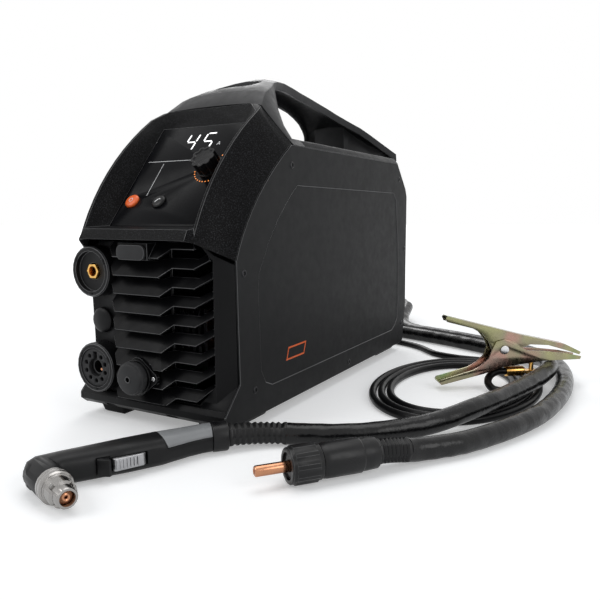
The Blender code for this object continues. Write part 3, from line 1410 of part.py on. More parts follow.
def head_frame():
    """Frame of the torch head: its axis along X."""
    z_axis = Vector((0, 0, 1))
    return TORCH @ axes((0, 0, 0), HEAD_AXIS, z_axis.cross(HEAD_AXIS), z_axis)


CUP_BORE_R = 5.2 * MM


def shield_cup():
    """The shield cup: grooved ring, drum with slots, and a rim round the nozzle."""
    start = HEAD_END + GAP
    profile = [(CUP_BORE_R, 54 * MM), (6.6 * MM, 54 * MM), (7.2 * MM, 53 * MM), (7.4 * MM, 47 * MM),
               (9.2 * MM, 46 * MM), (9.4 * MM, 36 * MM), (10.2 * MM, 35.6 * MM),
               (10.2 * MM, 34.4 * MM), (11.6 * MM, 34 * MM), (11.6 * MM, 30.6 * MM),
               (10.8 * MM, 30.2 * MM), (10.8 * MM, 29.4 * MM), (11.6 * MM, 29 * MM),
               (11.6 * MM, start), (CUP_BORE_R, start)]
    cup = turned("shield_cup", profile, 20, along_x(Matrix.Identity(4)))
    for i in range(4):
        slot = box("slot", (41 * MM, -1.6 * MM, 6.6 * MM), (55 * MM, 1.6 * MM, 12 * MM))
        slot.data.transform(Matrix.Rotation(math.radians(45 + 90 * i), 4, "X"))
        cup = cut(cup, slot)
    return done(cup, "steel", 35, head_frame())


def cutting_nozzle():
    """The copper nozzle inside the cup, with its orifice."""
    radius = CUP_BORE_R - GAP
    profile = [(0.9 * MM, 51.5 * MM), (2.2 * MM, 52.2 * MM), (radius, 50 * MM),
               (radius, HEAD_END + GAP), (0, HEAD_END + GAP), (0, 47 * MM), (0.9 * MM, 47 * MM)]
    nozzle = turned("cutting_nozzle", profile, 16, along_x(Matrix.Identity(4)))
    return done(nozzle, "copper", 35, head_frame())


# ----------------------------------------------------------------------------
# Plug at the hose's other end
# ----------------------------------------------------------------------------

PLUG_TIP = mm(153.5, -265.0, 14.4)
PLUG_HEADING = 50.8
PLUG = plan_frame(PLUG_TIP, PLUG_HEADING)
NUT_X = (24 * MM, 48 * MM)
NUT_R = 14.1 * MM
BARREL_END = 93 * MM
NOSE_R = 9.6 * MM
PIN_R = 4 * MM
PLUG_BOOT_R = 10 * MM


def plug_pin():
    """The hollow copper pin, seated in the plug's nose."""
    seat = NUT_X[0] + 16 * MM
    pin = turned("plug_pin", [(1.8 * MM, seat - GAP), (PIN_R, seat - GAP), (PIN_R, 1 * MM),
                              (PIN_R - 0.8 * MM, 0), (1.8 * MM, 0)], 16)
    pin.data.transform(Matrix.Rotation(math.radians(90), 4, "Y"))
    return done(pin, "copper", 35, PLUG)


def plug_barrel():
    """The plug's barrel, with the nose that carries the nut and holds the pin."""
    nose = NUT_X[0] + 1.5 * MM
    seat = NUT_X[0] + 16 * MM
    back = NUT_X[1] + GAP
    profile = [(0, BARREL_END), (11.4 * MM, BARREL_END), (11.8 * MM, BARREL_END - 1 * MM),
               (12.2 * MM, 84 * MM), (12.2 * MM, 80 * MM), (13 * MM, 79 * MM), (13 * MM, 53 * MM),
               (12.2 * MM, back), (NOSE_R, back), (NOSE_R, nose), (PIN_R + GAP, nose),
               (PIN_R + GAP, seat), (0, seat)]
    barrel = turned("plug_barrel", profile, 20)
    barrel.data.transform(Matrix.Rotation(math.radians(90), 4, "Y"))
    return done(barrel, "rubber", 35, PLUG)


def plug_nut():
    """The locking nut, knurled, free to turn on the nose."""
    x0, x1 = NUT_X
    flutes = 10
    outline = []
    for i in range(flutes * 3):
        angle = 2 * math.pi * i / (flutes * 3)
        radius = NUT_R - (1.1 * MM if i % 3 == 2 else 0.0)
        outline.append((radius * math.cos(angle), radius * math.sin(angle)))
    nut = plate("plug_nut", [outline, circle((0, 0), NOSE_R + GAP, 20)], x1 - x0 - 7 * MM,
                Matrix.Translation((0, 0, (x0 + x1) / 2)))
    profile = [(NOSE_R + GAP, x1), (12.6 * MM, x1), (13.2 * MM, x1 - 1 * MM),
               (13.2 * MM, x0 + 1 * MM), (12.4 * MM, x0), (NOSE_R + GAP, x0)]
    nut = join(nut, turned("core", profile, 20))
    nut.data.transform(Matrix.Rotation(math.radians(90), 4, "Y"))
    return done(nut, "rubber", 35, PLUG)


PLUG_BOOT_START = PLUG @ Vector((BARREL_END + GAP, 0, 0))
PLUG_DIR = (PLUG.to_3x3() @ Vector((1, 0, 0))).normalized()
PLUG_BOOT_END = PLUG @ Vector((120 * MM, 0.4 * MM, -2.4 * MM))
PLUG_BOOT_DIR = Vector((math.cos(math.radians(53)), math.sin(math.radians(53)), -0.14)).normalized()


def plug_boot():
    """The ribbed boot behind the barrel."""
    boot = ribbed("plug_boot", PLUG_BOOT_START, PLUG_DIR, PLUG_BOOT_END, PLUG_BOOT_DIR,
                  PLUG_BOOT_R, BOOT_RIB, 7)
    return done(boot, "rubber", 30)


# ----------------------------------------------------------------------------
# Hose: two free strands and the coil behind the power source
# ----------------------------------------------------------------------------

FLOOR_LIFT = 0.05 * MM
HOSE_Z = HOSE_R + FLOOR_LIFT
HOSE_COIL_AT = mm(-80, 400, 0)
HOSE_COIL_R = 91 * MM
HOSE_PITCH = 2 * HOSE_R + 0.75 * MM
HOSE_TURNS_IN = 2.5
HOSE_TURNS_OUT = 2.694
LOOP_POINTS = 24

TORCH_STRAND = (                 # millimetres, from the boot to the coil
    (154.7, -167.5, 9.05), (187.7, -144.5, 9.05), (226.3, -107.5, 12.0), (252.5, -62.0, 17.2),
    (267.5, -16.0, 17.5), (279.5, 28.0, 18.0), (289.0, 74.0, 19.6), (292.5, 104.0, 20.4),
    (284.5, 138.0, 20.3), (272.0, 168.0, 16.5), (255.0, 193.0, 11.5), (232.0, 214.0, 9.1),
    (190.0, 236.0, 9.05),
    (136.0, 260.0, 9.05), (64.0, 283.0, 9.05), (0.0, 300.0, 9.05))
PLUG_STRAND = (                  # millimetres, from the boot to the coil
    (252.5, -143.5, 9.6), (274.0, -104.0, 9.05), (293.5, -57.0, 9.05), (305.5, -10.0, 9.05),
    (311.0, 55.0, 9.05), (307.5, 112.0, 9.05), (297.0, 160.0, 9.05), (279.0, 199.0, 9.05),
    (246.0, 232.0, 9.05), (196.0, 259.0, 9.05), (140.0, 283.0, 9.05), (92.0, 301.0, 9.05),
    (58.0, 319.0, 9.2), (40.0, 345.0, 12.0), (30.0, 370.0, 18.5))


def smooth_path(points, spacing, start_dir=None, end_dir=None):
    """Evenly spaced points of a smooth curve through a route's own points."""
    route = [Vector(p) for p in points]
    first = route[0] - (start_dir * 20 * MM if start_dir is not None else route[1] - route[0])
    last = route[-1] + (end_dir * 20 * MM if end_dir is not None else route[-1] - route[-2])
    padded = [first] + route + [last]
    fine = []
    steps = 12
    for a, b, c, d in zip(padded, padded[1:], padded[2:], padded[3:]):
        for i in range(steps):
            t = i / steps
            fine.append(0.5 * (2 * b + (c - a) * t + (2 * a - 5 * b + 4 * c - d) * t * t
                               + (3 * b - a - 3 * c + d) * t ** 3))
    fine.append(route[-1])
    total = sum((q - p).length for p, q in zip(fine, fine[1:]))
    count = max(2, round(total / spacing))
    evened = [fine[0]]
    walked = 0.0
    target = total / count
    for p, q in zip(fine, fine[1:]):
        step = (q - p).length
        while walked + step >= target * len(evened) and len(evened) < count:
            evened.append(p.lerp(q, (target * len(evened) - walked) / step))
        walked += step
    evened.append(fine[-1])
    return evened


def laid(start, start_dir, route, end, end_dir, spacing, radius):
    """A cord's points: a straight first and last length, and a smooth way between them."""
    first = start + start_dir * 1.2 * radius
    last = end - end_dir * 1.2 * radius
    way = smooth_path([first] + route + [last], spacing, start_dir, end_dir)
    lowest = radius + FLOOR_LIFT
    for point in way:
        point.z = max(point.z, lowest)
    return [start] + way + [end]


def hose_coil_points():
    """Centre line of the coil: in on the floor, a climb at the heart, and out on top."""
    turns = HOSE_TURNS_IN + 0.5 + HOSE_TURNS_OUT
    count = round(turns * LOOP_POINTS)
    heart = HOSE_COIL_R - HOSE_PITCH * HOSE_TURNS_IN
    points = []
    for i in range(count + 1):
        turn = turns * i / count
        if turn <= HOSE_TURNS_IN:
            radius = HOSE_COIL_R - HOSE_PITCH * turn
            climb = 0.0
        elif turn <= HOSE_TURNS_IN + 0.5:
            share = (turn - HOSE_TURNS_IN) / 0.5
            radius = heart - 3.4 * MM * math.sin(math.pi * share)
            climb = share
        else:
            radius = heart + HOSE_PITCH * (turn - HOSE_TURNS_IN - 0.5)
            climb = 1.0
        angle = -math.pi / 2 - 2 * math.pi * turn
        points.append(HOSE_COIL_AT + Vector((radius * math.cos(angle), radius * math.sin(angle),
                                             HOSE_Z + HOSE_PITCH * climb)))
    return straight_ends(points, 2 * HOSE_R)


def straight_ends(points, length):
    """Run a wound tube straight at both ends."""
    into = (points[1] - points[0]).normalized()
    out = (points[-1] - points[-2]).normalized()
    return [points[0] - into * length] + points + [points[-1] + out * length]


def least_gap(points, radius):
    """Least clear distance of a tube to itself, leaving out its own neighbourhood."""
    least = 1.0
    skip = 10
    for i, p in enumerate(points):
        for j in range(i + skip, len(points) - 1):
            q, r = points[j], points[j + 1]
            run = r - q
            t = max(0.0, min(1.0, (p - q).dot(run) / run.length_squared))
            least = min(least, (p - (q + run * t)).length)
    return least - 2 * radius


def torch_hose_front():
    """The hose from the torch's boot to the coil."""
    start = TORCH_BOOT_END + TORCH_BOOT_DIR * GAP
    coil = hose_coil_points()
    into = (coil[1] - coil[0]).normalized()
    route = [mm(*p) for p in TORCH_STRAND]
    points = laid(start, TORCH_BOOT_DIR, route, coil[0] - into * GAP, into, 38 * MM, HOSE_R)
    return done(tube("torch_hose_front", points, HOSE_R, 2), "rubber", 50)


def torch_hose_rear():
    """The hose from the plug's boot to the coil's upper end."""
    coil = hose_coil_points()
    out = (coil[-1] - coil[-2]).normalized()
    start = PLUG_BOOT_END + PLUG_BOOT_DIR * GAP
    route = [mm(*p) for p in PLUG_STRAND]
    points = laid(start, PLUG_BOOT_DIR, route, coil[-1] + out * GAP, -out, 38 * MM, HOSE_R)
    return done(tube("torch_hose_rear", points, HOSE_R, 2), "rubber", 50)


def torch_hose_coil():
    """The coiled middle of the hose."""
    points = hose_coil_points()
    print("hose coil: least gap to itself %.2f mm" % (least_gap(points, HOSE_R) / MM))
    return done(tube("torch_hose_coil", points, HOSE_R, 1), "rubber", 50)


# ----------------------------------------------------------------------------
# Earth lead and its plug
# ----------------------------------------------------------------------------

LEAD_COIL_AT = mm(205, 48, 0)
LEAD_OUTER = (86 * MM, 131 * MM)
LEAD_INNER = (58 * MM, 92 * MM)
LEAD_TURNS = 3.25
LEAD_START = 100                 # degrees, where the outer turn leaves the coil
LEAD_Z = LEAD_R + FLOOR_LIFT
LEAD_RISE = ((236.5, 70.5, 12.5), (239.0, 56.5, 7.5), (250.0, 48.5, 4.4))
LEAD_TAIL = ((141, 186, 4.05), (112, 213, 4.05), (78, 232, 4.05), (40, 240, 5.0),
             (12, 242, 8.0))
EARTH_PLUG_AT = mm(0, 243, 9.6)


def lead_coil_points():
    """Centre line of the flat coil, from the clamp's lug to where it leaves."""
    count = round(LEAD_TURNS * LOOP_POINTS)
    points = []
    for i in range(count + 1):
        share = i / count
        angle = math.radians(LEAD_START) - 2 * math.pi * LEAD_TURNS * (1 - share)
        a = LEAD_INNER[0] + (LEAD_OUTER[0] - LEAD_INNER[0]) * share
        b = LEAD_INNER[1] + (LEAD_OUTER[1] - LEAD_INNER[1]) * share
        points.append(LEAD_COIL_AT + Vector((a * math.cos(angle), b * math.sin(angle), LEAD_Z)))
    return points


def earth_lead_coil():
    """The earth lead's coil on the floor, with its rise to the clamp's lug."""
    lug = CLAMP @ Vector((LUG_X - GAP, 0, LUG_Z))
    back = (CLAMP.to_3x3() @ Vector((-1, 0, 0))).normalized()
    coil = lead_coil_points()
    onward = (coil[1] - coil[0]).normalized()
    rise = [lug + back * 2 * LEAD_R] + [mm(*p) for p in LEAD_RISE] + [coil[0]]
    points = [lug] + smooth_path(rise, 8 * MM, back, onward)[:-1] + coil
    out = (coil[-1] - coil[-2]).normalized()
    points.append(coil[-1] + out * 2 * LEAD_R)
    print("earth lead: least gap to itself %.2f mm" % (least_gap(points, LEAD_R) / MM))
    return done(tube("earth_lead_coil", points, LEAD_R, 1), "rubber", 50)


def earth_lead_tail():
    """The lead from the coil to its plug behind the power source."""
    coil = lead_coil_points()
    out = (coil[-1] - coil[-2]).normalized()
    start = coil[-1] + out * (2 * LEAD_R + GAP)
    end = EARTH_PLUG_AT + Vector((GAP, 0, 0))
    route = [mm(*p) for p in LEAD_TAIL]
    points = laid(start, out, route, end, Vector((-1, 0, 0)), 20 * MM, LEAD_R)
    return done(tube("earth_lead_tail", points, LEAD_R, 2), "rubber", 50)


def earth_plug():
    """The earth lead's plug: brass pin, collar and rubber sleeve, in one turned form."""
    profile = [(0, 62 * MM), (3.4 * MM, 62 * MM), (4.4 * MM, 61 * MM), (4.4 * MM, 44 * MM),
               (9.5 * MM, 44 * MM), (9.5 * MM, 30 * MM), (8.6 * MM, 28 * MM), (6.2 * MM, 0),
               (0, 0)]
    frame = Matrix.Translation(EARTH_PLUG_AT) @ Matrix.Rotation(math.radians(-90), 4, "Y")
    plug = turned("earth_plug", profile, 16)
    return done(plug, "rubber", 35, frame)


# ----------------------------------------------------------------------------
# Earth clamp
# ----------------------------------------------------------------------------

CLAMP_HEADING = math.degrees(math.atan2(0.572, 0.820))
CLAMP = plan_frame(mm(188, 40, 0), CLAMP_HEADING)
CLAMP_SHEET = 1.8 * MM
LOWER_HALF = 9 * MM              # half width over the lower arm's cheeks
RIVET_AT = (70.2 * MM, 43.1 * MM)
RIVET_R = 3 * MM
LUG_X = 76 * MM
LUG_Z = 17.2 * MM
LOWER_EDGE = ((0, 8.5), (2.3, 6.3), (47.7, 17.1), (69.9, 24.3), (115, 29.9), (156, 30.6))
UPPER_EDGE = ((157, 38.4), (139, 47.2), (91, 58), (45, 70), (7.5, 80.2), (5.8, 78.8))
CLAMP_DRAWN = axes((0, 0, 0), (1, 0, 0), (0, 0, 1), (0, -1, 0))


def cheeks_and_web(name, cheek, web, half):
    """A pressed arm: two cheeks joined along one edge by a web."""
    arm = plate(name, [web], 2 * half, CLAMP_DRAWN)
    for side in (-1, 1):
        middle = side * (half - CLAMP_SHEET / 2)
        side_plate = plate("cheek", [cheek, circle(RIVET_AT, RIVET_R + GAP, 20)], CLAMP_SHEET,
                           at(CLAMP_DRAWN, y=middle))
        arm = join(arm, side_plate)
    return arm


def clamp_lower_arm():
    """The lower arm: handle, cheeks round the rivet, and lower jaw."""
    low = [tuple(mm(x, z)) for x, z in LOWER_EDGE]
    cheek = low + [tuple(mm(x, z)) for x, z in (
        (157, 33.8), (139.7, 37.4), (114, 40.6), (96, 41.5), (88, 46), (80, 52.5), (70, 54.5),
        (61, 52), (56.7, 43.5), (53.5, 34), (44.8, 26), (36.3, 21.4), (1.2, 12))]
    web = low + [(x, z + CLAMP_SHEET) for x, z in reversed(low)]
    arm = cheeks_and_web("clamp_lower_arm", cheek, web, LOWER_HALF)
    return done(arm, "yellow_zinc", 30, CLAMP)


def clamp_upper_arm():
    """The upper arm, nested between the lower one's cheeks, with the upper jaw."""
    high = [tuple(mm(x, z)) for x, z in UPPER_EDGE]
    cheek = high + [tuple(mm(x, z)) for x, z in (
        (7.2, 74.2), (36, 66.5), (46, 61), (53, 52.5), (57.5, 42), (61, 36.5), (70, 33),
        (79, 36), (88, 43.6), (100, 47.8), (120, 46.5), (139.7, 40.6), (156, 35.2))]
    web = high + [(x, z - CLAMP_SHEET) for x, z in reversed(high)]
    arm = cheeks_and_web("clamp_upper_arm", cheek, web, LOWER_HALF - CLAMP_SHEET - GAP)
    arm.data.transform(Matrix.Translation((-RIVET_AT[0], 0, -RIVET_AT[1])))
    frame = CLAMP @ Matrix.Translation((RIVET_AT[0], 0, RIVET_AT[1]))
    return done(arm, "yellow_zinc", 30, frame)


def clamp_rivet():
    """The hollow rivet that the arms turn on."""
    x, z = RIVET_AT
    end = LOWER_HALF + 1.4 * MM
    rivet = cylinder("clamp_rivet", (x, -end, z), (x, end, z), RIVET_R, 20)
    for side in (-1, 1):
        head = cylinder("head", (x, side * (LOWER_HALF + GAP), z), (x, side * end, z), 4.6 * MM, 20)
        rivet = join(rivet, head)
    return done(rivet, "steel", 35, CLAMP)


def clamp_spring():
    """The torsion spring round the rivet: four turns with a leg along each arm."""
    x, z = RIVET_AT
    wire = 0.7 * MM
    radius = RIVET_R + GAP + 0.3 * MM + wire
    turns = 3.72
    count = round(turns * 8)
    width = 2 * (LOWER_HALF - 2 * CLAMP_SHEET - 2 * MM)
    points = [Vector((x - 13 * MM, -width / 2, z - 9.4 * MM))]
    for i in range(count + 1):
        angle = math.radians(230) + 2 * math.pi * turns * i / count
        points.append(Vector((x + radius * math.cos(angle), -width / 2 + width * i / count,
                              z + radius * math.sin(angle))))
    points.append(Vector((x - 14 * MM, width / 2, z + 13.6 * MM)))
    print("clamp spring: least gap to itself %.2f mm" % (least_gap(points[1:-1], wire) / MM))
    return done(tube("clamp_spring", points, wire, 1), "steel", 50, CLAMP)


def clamp_lug():
    """The cable lug under the lower arm, with its bolt through the web."""
    barrel = turned("clamp_lug", [(0, 20 * MM), (5.2 * MM, 20 * MM), (5.4 * MM, 19 * MM),
                                  (5.4 * MM, 0), (0, 0)], 20)
    barrel.data.transform(Matrix.Translation((LUG_X, 0, LUG_Z)) @ Matrix.Rotation(
        math.radians(90), 4, "Y"))
    tongue = box("tongue", (LUG_X + 16 * MM, -5.5 * MM, LUG_Z - 1.2 * MM),
                 (LUG_X + 34.5 * MM, 5.5 * MM, LUG_Z + 1.2 * MM))
    x = LUG_X + 29 * MM
    bolt = cylinder("bolt", (x, 0, LUG_Z - 7 * MM), (x, 0, 28.1 * MM), 2.4 * MM, 12)
    nut = cylinder("nut", (x, 0, LUG_Z - 4.6 * MM), (x, 0, LUG_Z - 1 * MM), 4.4 * MM, 6)
    lug = join(barrel, tongue, bolt, nut)
    return done(lug, "brass", 35, CLAMP)


def main():
    clear_scene()
    base_tray()
    feet()
    side_panel("side_panel_right", 1)
    side_panel("side_panel_left", -1)
    top_cover()
    rear_panel()
    front_visor()
    front_frame()
    louvre_grille()
    carry_handle()
    control_fascia()
    control_board()
    current_knob()
    push_button("mode_button", MODE_AT, MODE_R, "orange_plastic")
    push_button("function_button", FUNCTION_AT, FUNCTION_R, "fascia_gloss")
    socket_shell("earth_socket_shell", EARTH_SOCKET_Z, CONTACT_R + GAP)
    earth_socket_contact()
    socket_shell("torch_socket_shell", TORCH_SOCKET_Z, TORCH_BORE_R)
    torch_socket_insert()
    blank_plug()
    remote_socket_flange()
    remote_socket_cap()
    cap_tether()
    port_cover()
    mains_switch_frame()
    mains_switch_rocker()
    cable_gland()
    air_inlet_fitting()
    fan_frame()
    fan_rotor()
    main_board()
    heat_sink()
    power_transformer()
    capacitor_bank()
    torch_body()
    torch_grip_insert()
    torch_trigger()
    torch_safety_catch()
    torch_collar()
    torch_boot()
    shield_cup()
    cutting_nozzle()
    torch_hose_front()
    torch_hose_coil()
    torch_hose_rear()
    plug_boot()
    plug_barrel()
    plug_nut()
    plug_pin()
    earth_lead_coil()
    earth_lead_tail()
    earth_plug()
    clamp_lower_arm()
    clamp_upper_arm()
    clamp_rivet()
    clamp_spring()
    clamp_lug()


main()
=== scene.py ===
"""Dressed scene of a plasma cutter unit: case, control panel, torch, hose, earth lead and clamp.

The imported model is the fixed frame.  Lengths are in metres; the origin is the middle of the
case's footprint on the floor, the front is towards -Y, and +Z is up.
"""

from __future__ import annotations

import json
import logging
import math
from dataclasses import dataclass, field
from enum import Enum
from typing import Callable, Iterable, Sequence

import bmesh
import bpy
from mathutils import Matrix, Vector

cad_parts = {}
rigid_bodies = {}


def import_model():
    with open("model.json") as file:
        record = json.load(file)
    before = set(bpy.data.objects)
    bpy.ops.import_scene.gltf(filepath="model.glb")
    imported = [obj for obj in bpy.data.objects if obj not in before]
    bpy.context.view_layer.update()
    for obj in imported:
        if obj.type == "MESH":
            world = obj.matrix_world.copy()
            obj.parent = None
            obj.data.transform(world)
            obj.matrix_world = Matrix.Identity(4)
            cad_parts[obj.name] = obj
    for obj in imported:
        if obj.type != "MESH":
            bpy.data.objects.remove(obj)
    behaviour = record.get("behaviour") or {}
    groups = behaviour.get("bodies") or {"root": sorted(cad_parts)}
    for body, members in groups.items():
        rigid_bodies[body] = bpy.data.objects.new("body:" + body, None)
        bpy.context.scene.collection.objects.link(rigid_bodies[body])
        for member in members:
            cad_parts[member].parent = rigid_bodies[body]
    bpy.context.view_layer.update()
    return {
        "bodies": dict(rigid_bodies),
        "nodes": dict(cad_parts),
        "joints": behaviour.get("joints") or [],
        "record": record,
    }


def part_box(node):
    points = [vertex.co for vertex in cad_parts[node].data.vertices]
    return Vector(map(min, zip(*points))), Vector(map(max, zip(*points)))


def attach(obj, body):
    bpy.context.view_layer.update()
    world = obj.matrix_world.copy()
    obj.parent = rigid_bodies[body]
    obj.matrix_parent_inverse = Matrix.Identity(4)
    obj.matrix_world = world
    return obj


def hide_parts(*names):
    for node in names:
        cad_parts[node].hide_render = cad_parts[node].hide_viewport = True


LOG = logging.getLogger("plasma_cutter_unit")
MM = 0.001
SIDES = ((1, "right"), (-1, "left"))
TOP_SHARE = 0.9         # a face looks along an axis where its normal has this share of it
Colour = tuple[float, float, float]
Point = Sequence[float]


class Body(str, Enum):
    """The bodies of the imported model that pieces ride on."""

    UNIT = "unit"
    KNOB = "current_knob"
    MODE = "mode_button"
    FUNCTION = "function_button"
    PORT_COVER = "port_cover"
    REMOTE_CAP = "remote_cap"
    ROCKER = "mains_rocker"
    FAN = "fan_rotor"
    TRIGGER = "torch_trigger"
    CATCH = "torch_catch"
    NUT = "plug_nut"
    JAW = "clamp_jaw"


# ----------------------------------------------------------------------------
# Finishes
# ----------------------------------------------------------------------------

class Graph:
    """A material's node tree, filled step by step."""

    def __init__(self, name: str) -> None:
        """Start a material with a Principled shader and Object coordinates.

        Args:
            name: the material's name.
        """
        self.material = bpy.data.materials.new(name)
        self.material.use_nodes = True
        self.tree = self.material.node_tree
        self.shader = self.tree.nodes["Principled BSDF"]
        self.place = self.node("ShaderNodeTexCoord").outputs["Object"]

    def node(self, kind: str, settings: dict | None = None, **sockets: object) -> bpy.types.Node:
        """Add a node.

        Args:
            kind: the node's type name.
            settings: properties of the node itself.
            sockets: inputs by name, with underscores for spaces, as a value or as a link.

        Returns:
            The new node.
        """
        made = self.tree.nodes.new(kind)
        for key, value in (settings or {}).items():
            setattr(made, key, value)
        for key, value in sockets.items():
            self.feed(made.inputs[key.replace("_", " ")], value)
        return made

    def feed(self, socket: bpy.types.NodeSocket, value: object) -> None:
        """Link an output to a socket, or set the socket's own value.

        Args:
            socket: the input that is filled.
            value: an output socket, or a plain value.
        """
        if isinstance(value, bpy.types.NodeSocket):
            self.tree.links.new(value, socket)
        else:
            socket.default_value = value

    def noise(self, size_mm: float, detail: float = 3.0, place: object = None,
              roughness: float = 0.55) -> bpy.types.NodeSocket:
        """Add a noise pattern.

        Args:
            size_mm: the size of a patch in millimetres.
            detail: octaves of finer noise.
            place: coordinates in metres, or the object's own where None.
            roughness: strength of the finer octaves.

        Returns:
            The noise's value.
        """
        made = self.node("ShaderNodeTexNoise", None, Vector=place or self.place,
                         Scale=1.0 / (size_mm * MM), Detail=detail, Roughness=roughness)
        return made.outputs["Fac"]

    def span(self, value: object, low: float, high: float, start: float = 0.3,
             end: float = 0.7) -> bpy.types.NodeSocket:
        """Map a value's range to another range.

        Args:
            value: the incoming output.
            low: result at start.
            high: result at end.
            start: value that gives low.
            end: value that gives high.

        Returns:
            The mapped value.
        """
        made = self.node("ShaderNodeMapRange", None, Value=value)
        for index, number in ((1, start), (2, end), (3, low), (4, high)):
            made.inputs[index].default_value = number
        return made.outputs[0]

    def ramp(self, value: object, stops: Sequence[tuple[float, Colour]]) -> bpy.types.NodeSocket:
        """Turn a value into colours.

        Args:
            value: the incoming output.
            stops: positions with their colours.

        Returns:
            The colour output.
        """
        made = self.node("ShaderNodeValToRGB", None, Fac=value)
        ramp = made.color_ramp
        while len(ramp.elements) < len(stops):
            ramp.elements.new(0.5)
        for element, (position, colour) in zip(ramp.elements, stops):
            element.position = position
            element.color = (*colour, 1.0)
        return made.outputs["Color"]

    def stretched(self, scale: Point, turn: Point = (0, 0, 0)) -> bpy.types.NodeSocket:
        """Object coordinates turned and stretched.

        Args:
            scale: factors along the three axes.
            turn: rotation in degrees.

        Returns:
            The mapped coordinates.
        """
        made = self.node("ShaderNodeMapping", None, Vector=self.place)
        made.inputs["Rotation"].default_value = [math.radians(a) for a in turn]
        made.inputs["Scale"].default_value = scale
        return made.outputs["Vector"]

    def mixed(self, factor: object, first: object, second: object) -> bpy.types.NodeSocket:
        """Blend two colours.

        Args:
            factor: share of the second one.
            first: colour at 0.
            second: colour at 1.

        Returns:
            The colour output.
        """
        made = self.node("ShaderNodeMix", {"data_type": "RGBA"})
        for index, value in ((0, factor), (6, first), (7, second)):
            self.feed(made.inputs[index], value)
        return made.outputs[2]

    def relief(self, height: object, depth_mm: float, below: object = None) -> object:
        """Add a bump.

        Args:
            height: the pattern.
            depth_mm: its depth in millimetres.
            below: the normal of a coarser bump under it.

        Returns:
            The bump's normal.
        """
        made = self.node("ShaderNodeBump", None, Height=height, Distance=depth_mm * MM,
                         Strength=1.0)
        if below is not None:
            self.feed(made.inputs["Normal"], below)
        return made.outputs["Normal"]

    def finish(self, colour: object, roughness: object, normal: object = None,
               **sockets: object) -> bpy.types.Material:
        """Fill the shader.

        Args:
            colour: base colour.
            roughness: roughness.
            normal: bump normal.
            sockets: other inputs of the shader.

        Returns:
            The material.
        """
        self.feed(self.shader.inputs["Base Color"], colour)
        self.feed(self.shader.inputs["Roughness"], roughness)
        if normal is not None:
            self.feed(self.shader.inputs["Normal"], normal)
        for key, value in sockets.items():
            self.feed(self.shader.inputs[key.replace("_", " ")], value)
        return self.material


DUST = (0.4, 0.39, 0.37, 1.0)


@dataclass(frozen=True)
class Finish:
    """A mottled, grained surface: plastic, paint or rubber."""

    name: str
    colour: Colour
    roughness: float
    grain_mm: float = 0.6
    relief_mm: float = 0.02
    mottle: float = 0.18
    spread: float = 0.12
    dust: float = 0.0
    slot: str = "housing_plastic"
    specular: float = 0.5

    def tinted(self, factor: float) -> Colour:
        """The base colour, lighter or darker by a factor."""
        return tuple(min(1.0, c * factor) for c in self.colour)

    def worn(self, graph: Graph, pattern: bpy.types.NodeSocket) -> bpy.types.NodeSocket:
        """The roughness, which swings with a pattern by the spread.

        Args:
            graph: the material's nodes.
            pattern: the pattern.

        Returns:
            The roughness.
        """
        return graph.span(pattern, self.roughness - self.spread, self.roughness + self.spread)

    def build(self) -> bpy.types.Material:
        """Make the node material.

        Returns:
            The material.
        """
        graph = Graph(self.name)
        cloud = graph.noise(45.0, 4.0)
        colour = graph.ramp(cloud, ((0.3, self.tinted(1 - self.mottle)),
                                    (0.7, self.tinted(1 + self.mottle))))
        if self.dust:
            speck = graph.span(graph.noise(2.2, 6.0, roughness=0.7), 0.0, self.dust, 0.55, 0.8)
            colour = graph.mixed(speck, colour, DUST)
        rough = self.worn(graph, graph.noise(9.0, 5.0))
        normal = graph.relief(graph.noise(self.grain_mm, 2.0), self.relief_mm)
        return graph.finish(colour, rough, normal, Specular_IOR_Level=self.specular)


@dataclass(frozen=True)
class SparkFinish(Finish):
    """A spark-eroded plastic: a coarse grain whose tips are painted lighter, as glints."""

    # brightness of the painted glints on the grain's tips, as a factor of the colour
    sparkle: float = 6.0

    def build(self) -> bpy.types.Material:
        """Make the node material.

        Returns:
            The material.
        """
        graph = Graph(self.name)
        grain = graph.noise(self.grain_mm, 2.0, roughness=0.6)
        cloud = graph.span(graph.noise(60.0, 3.0), 1.0 - self.mottle, 1.0 + self.mottle)
        # Painted glints: the grain's tips are coloured lighter by the sparkle factor.
        tips = graph.span(grain, 0.0, 1.0, 0.52, 0.78)
        glinting_grain = graph.mixed(tips, (*self.colour, 1.0), (*self.tinted(self.sparkle), 1.0))
        shade = graph.node("ShaderNodeVectorMath", {"operation": "SCALE"}, Scale=cloud)
        graph.feed(shade.inputs[0], glinting_grain)
        rough = self.worn(graph, graph.noise(9.0, 5.0))
        normal = graph.relief(grain, self.relief_mm)
        return graph.finish(shade.outputs[0], rough, normal,
                            Specular_IOR_Level=self.specular)


@dataclass(frozen=True)
class MetalFinish(Finish):
    """A metal with fine turning or rolling marks and stains."""

    stain: Colour = (0.4, 0.36, 0.3)
    stained: float = 0.25
    streak: tuple[float, float, float] = (1.0, 1.0, 0.04)
    slot: str = "steel"

    def build(self) -> bpy.types.Material:
        """Make the node material.

        Returns:
            The material.
        """
        graph = Graph(self.name)
        cloud = graph.noise(7.0, 6.0, roughness=0.62)
        colour = graph.ramp(cloud, ((0.32, self.tinted(1 - self.mottle)),
                                    (0.5, self.colour),
                                    (0.72, tuple(c * (1 - self.stained) + s * self.stained
                                                 for c, s in zip(self.colour, self.stain)))))
        marks = graph.noise(self.grain_mm, 3.0, graph.stretched(self.streak))
        rough = self.worn(graph, marks)
        normal = graph.relief(marks, self.relief_mm)
        return graph.finish(colour, rough, normal, Metallic=1.0)


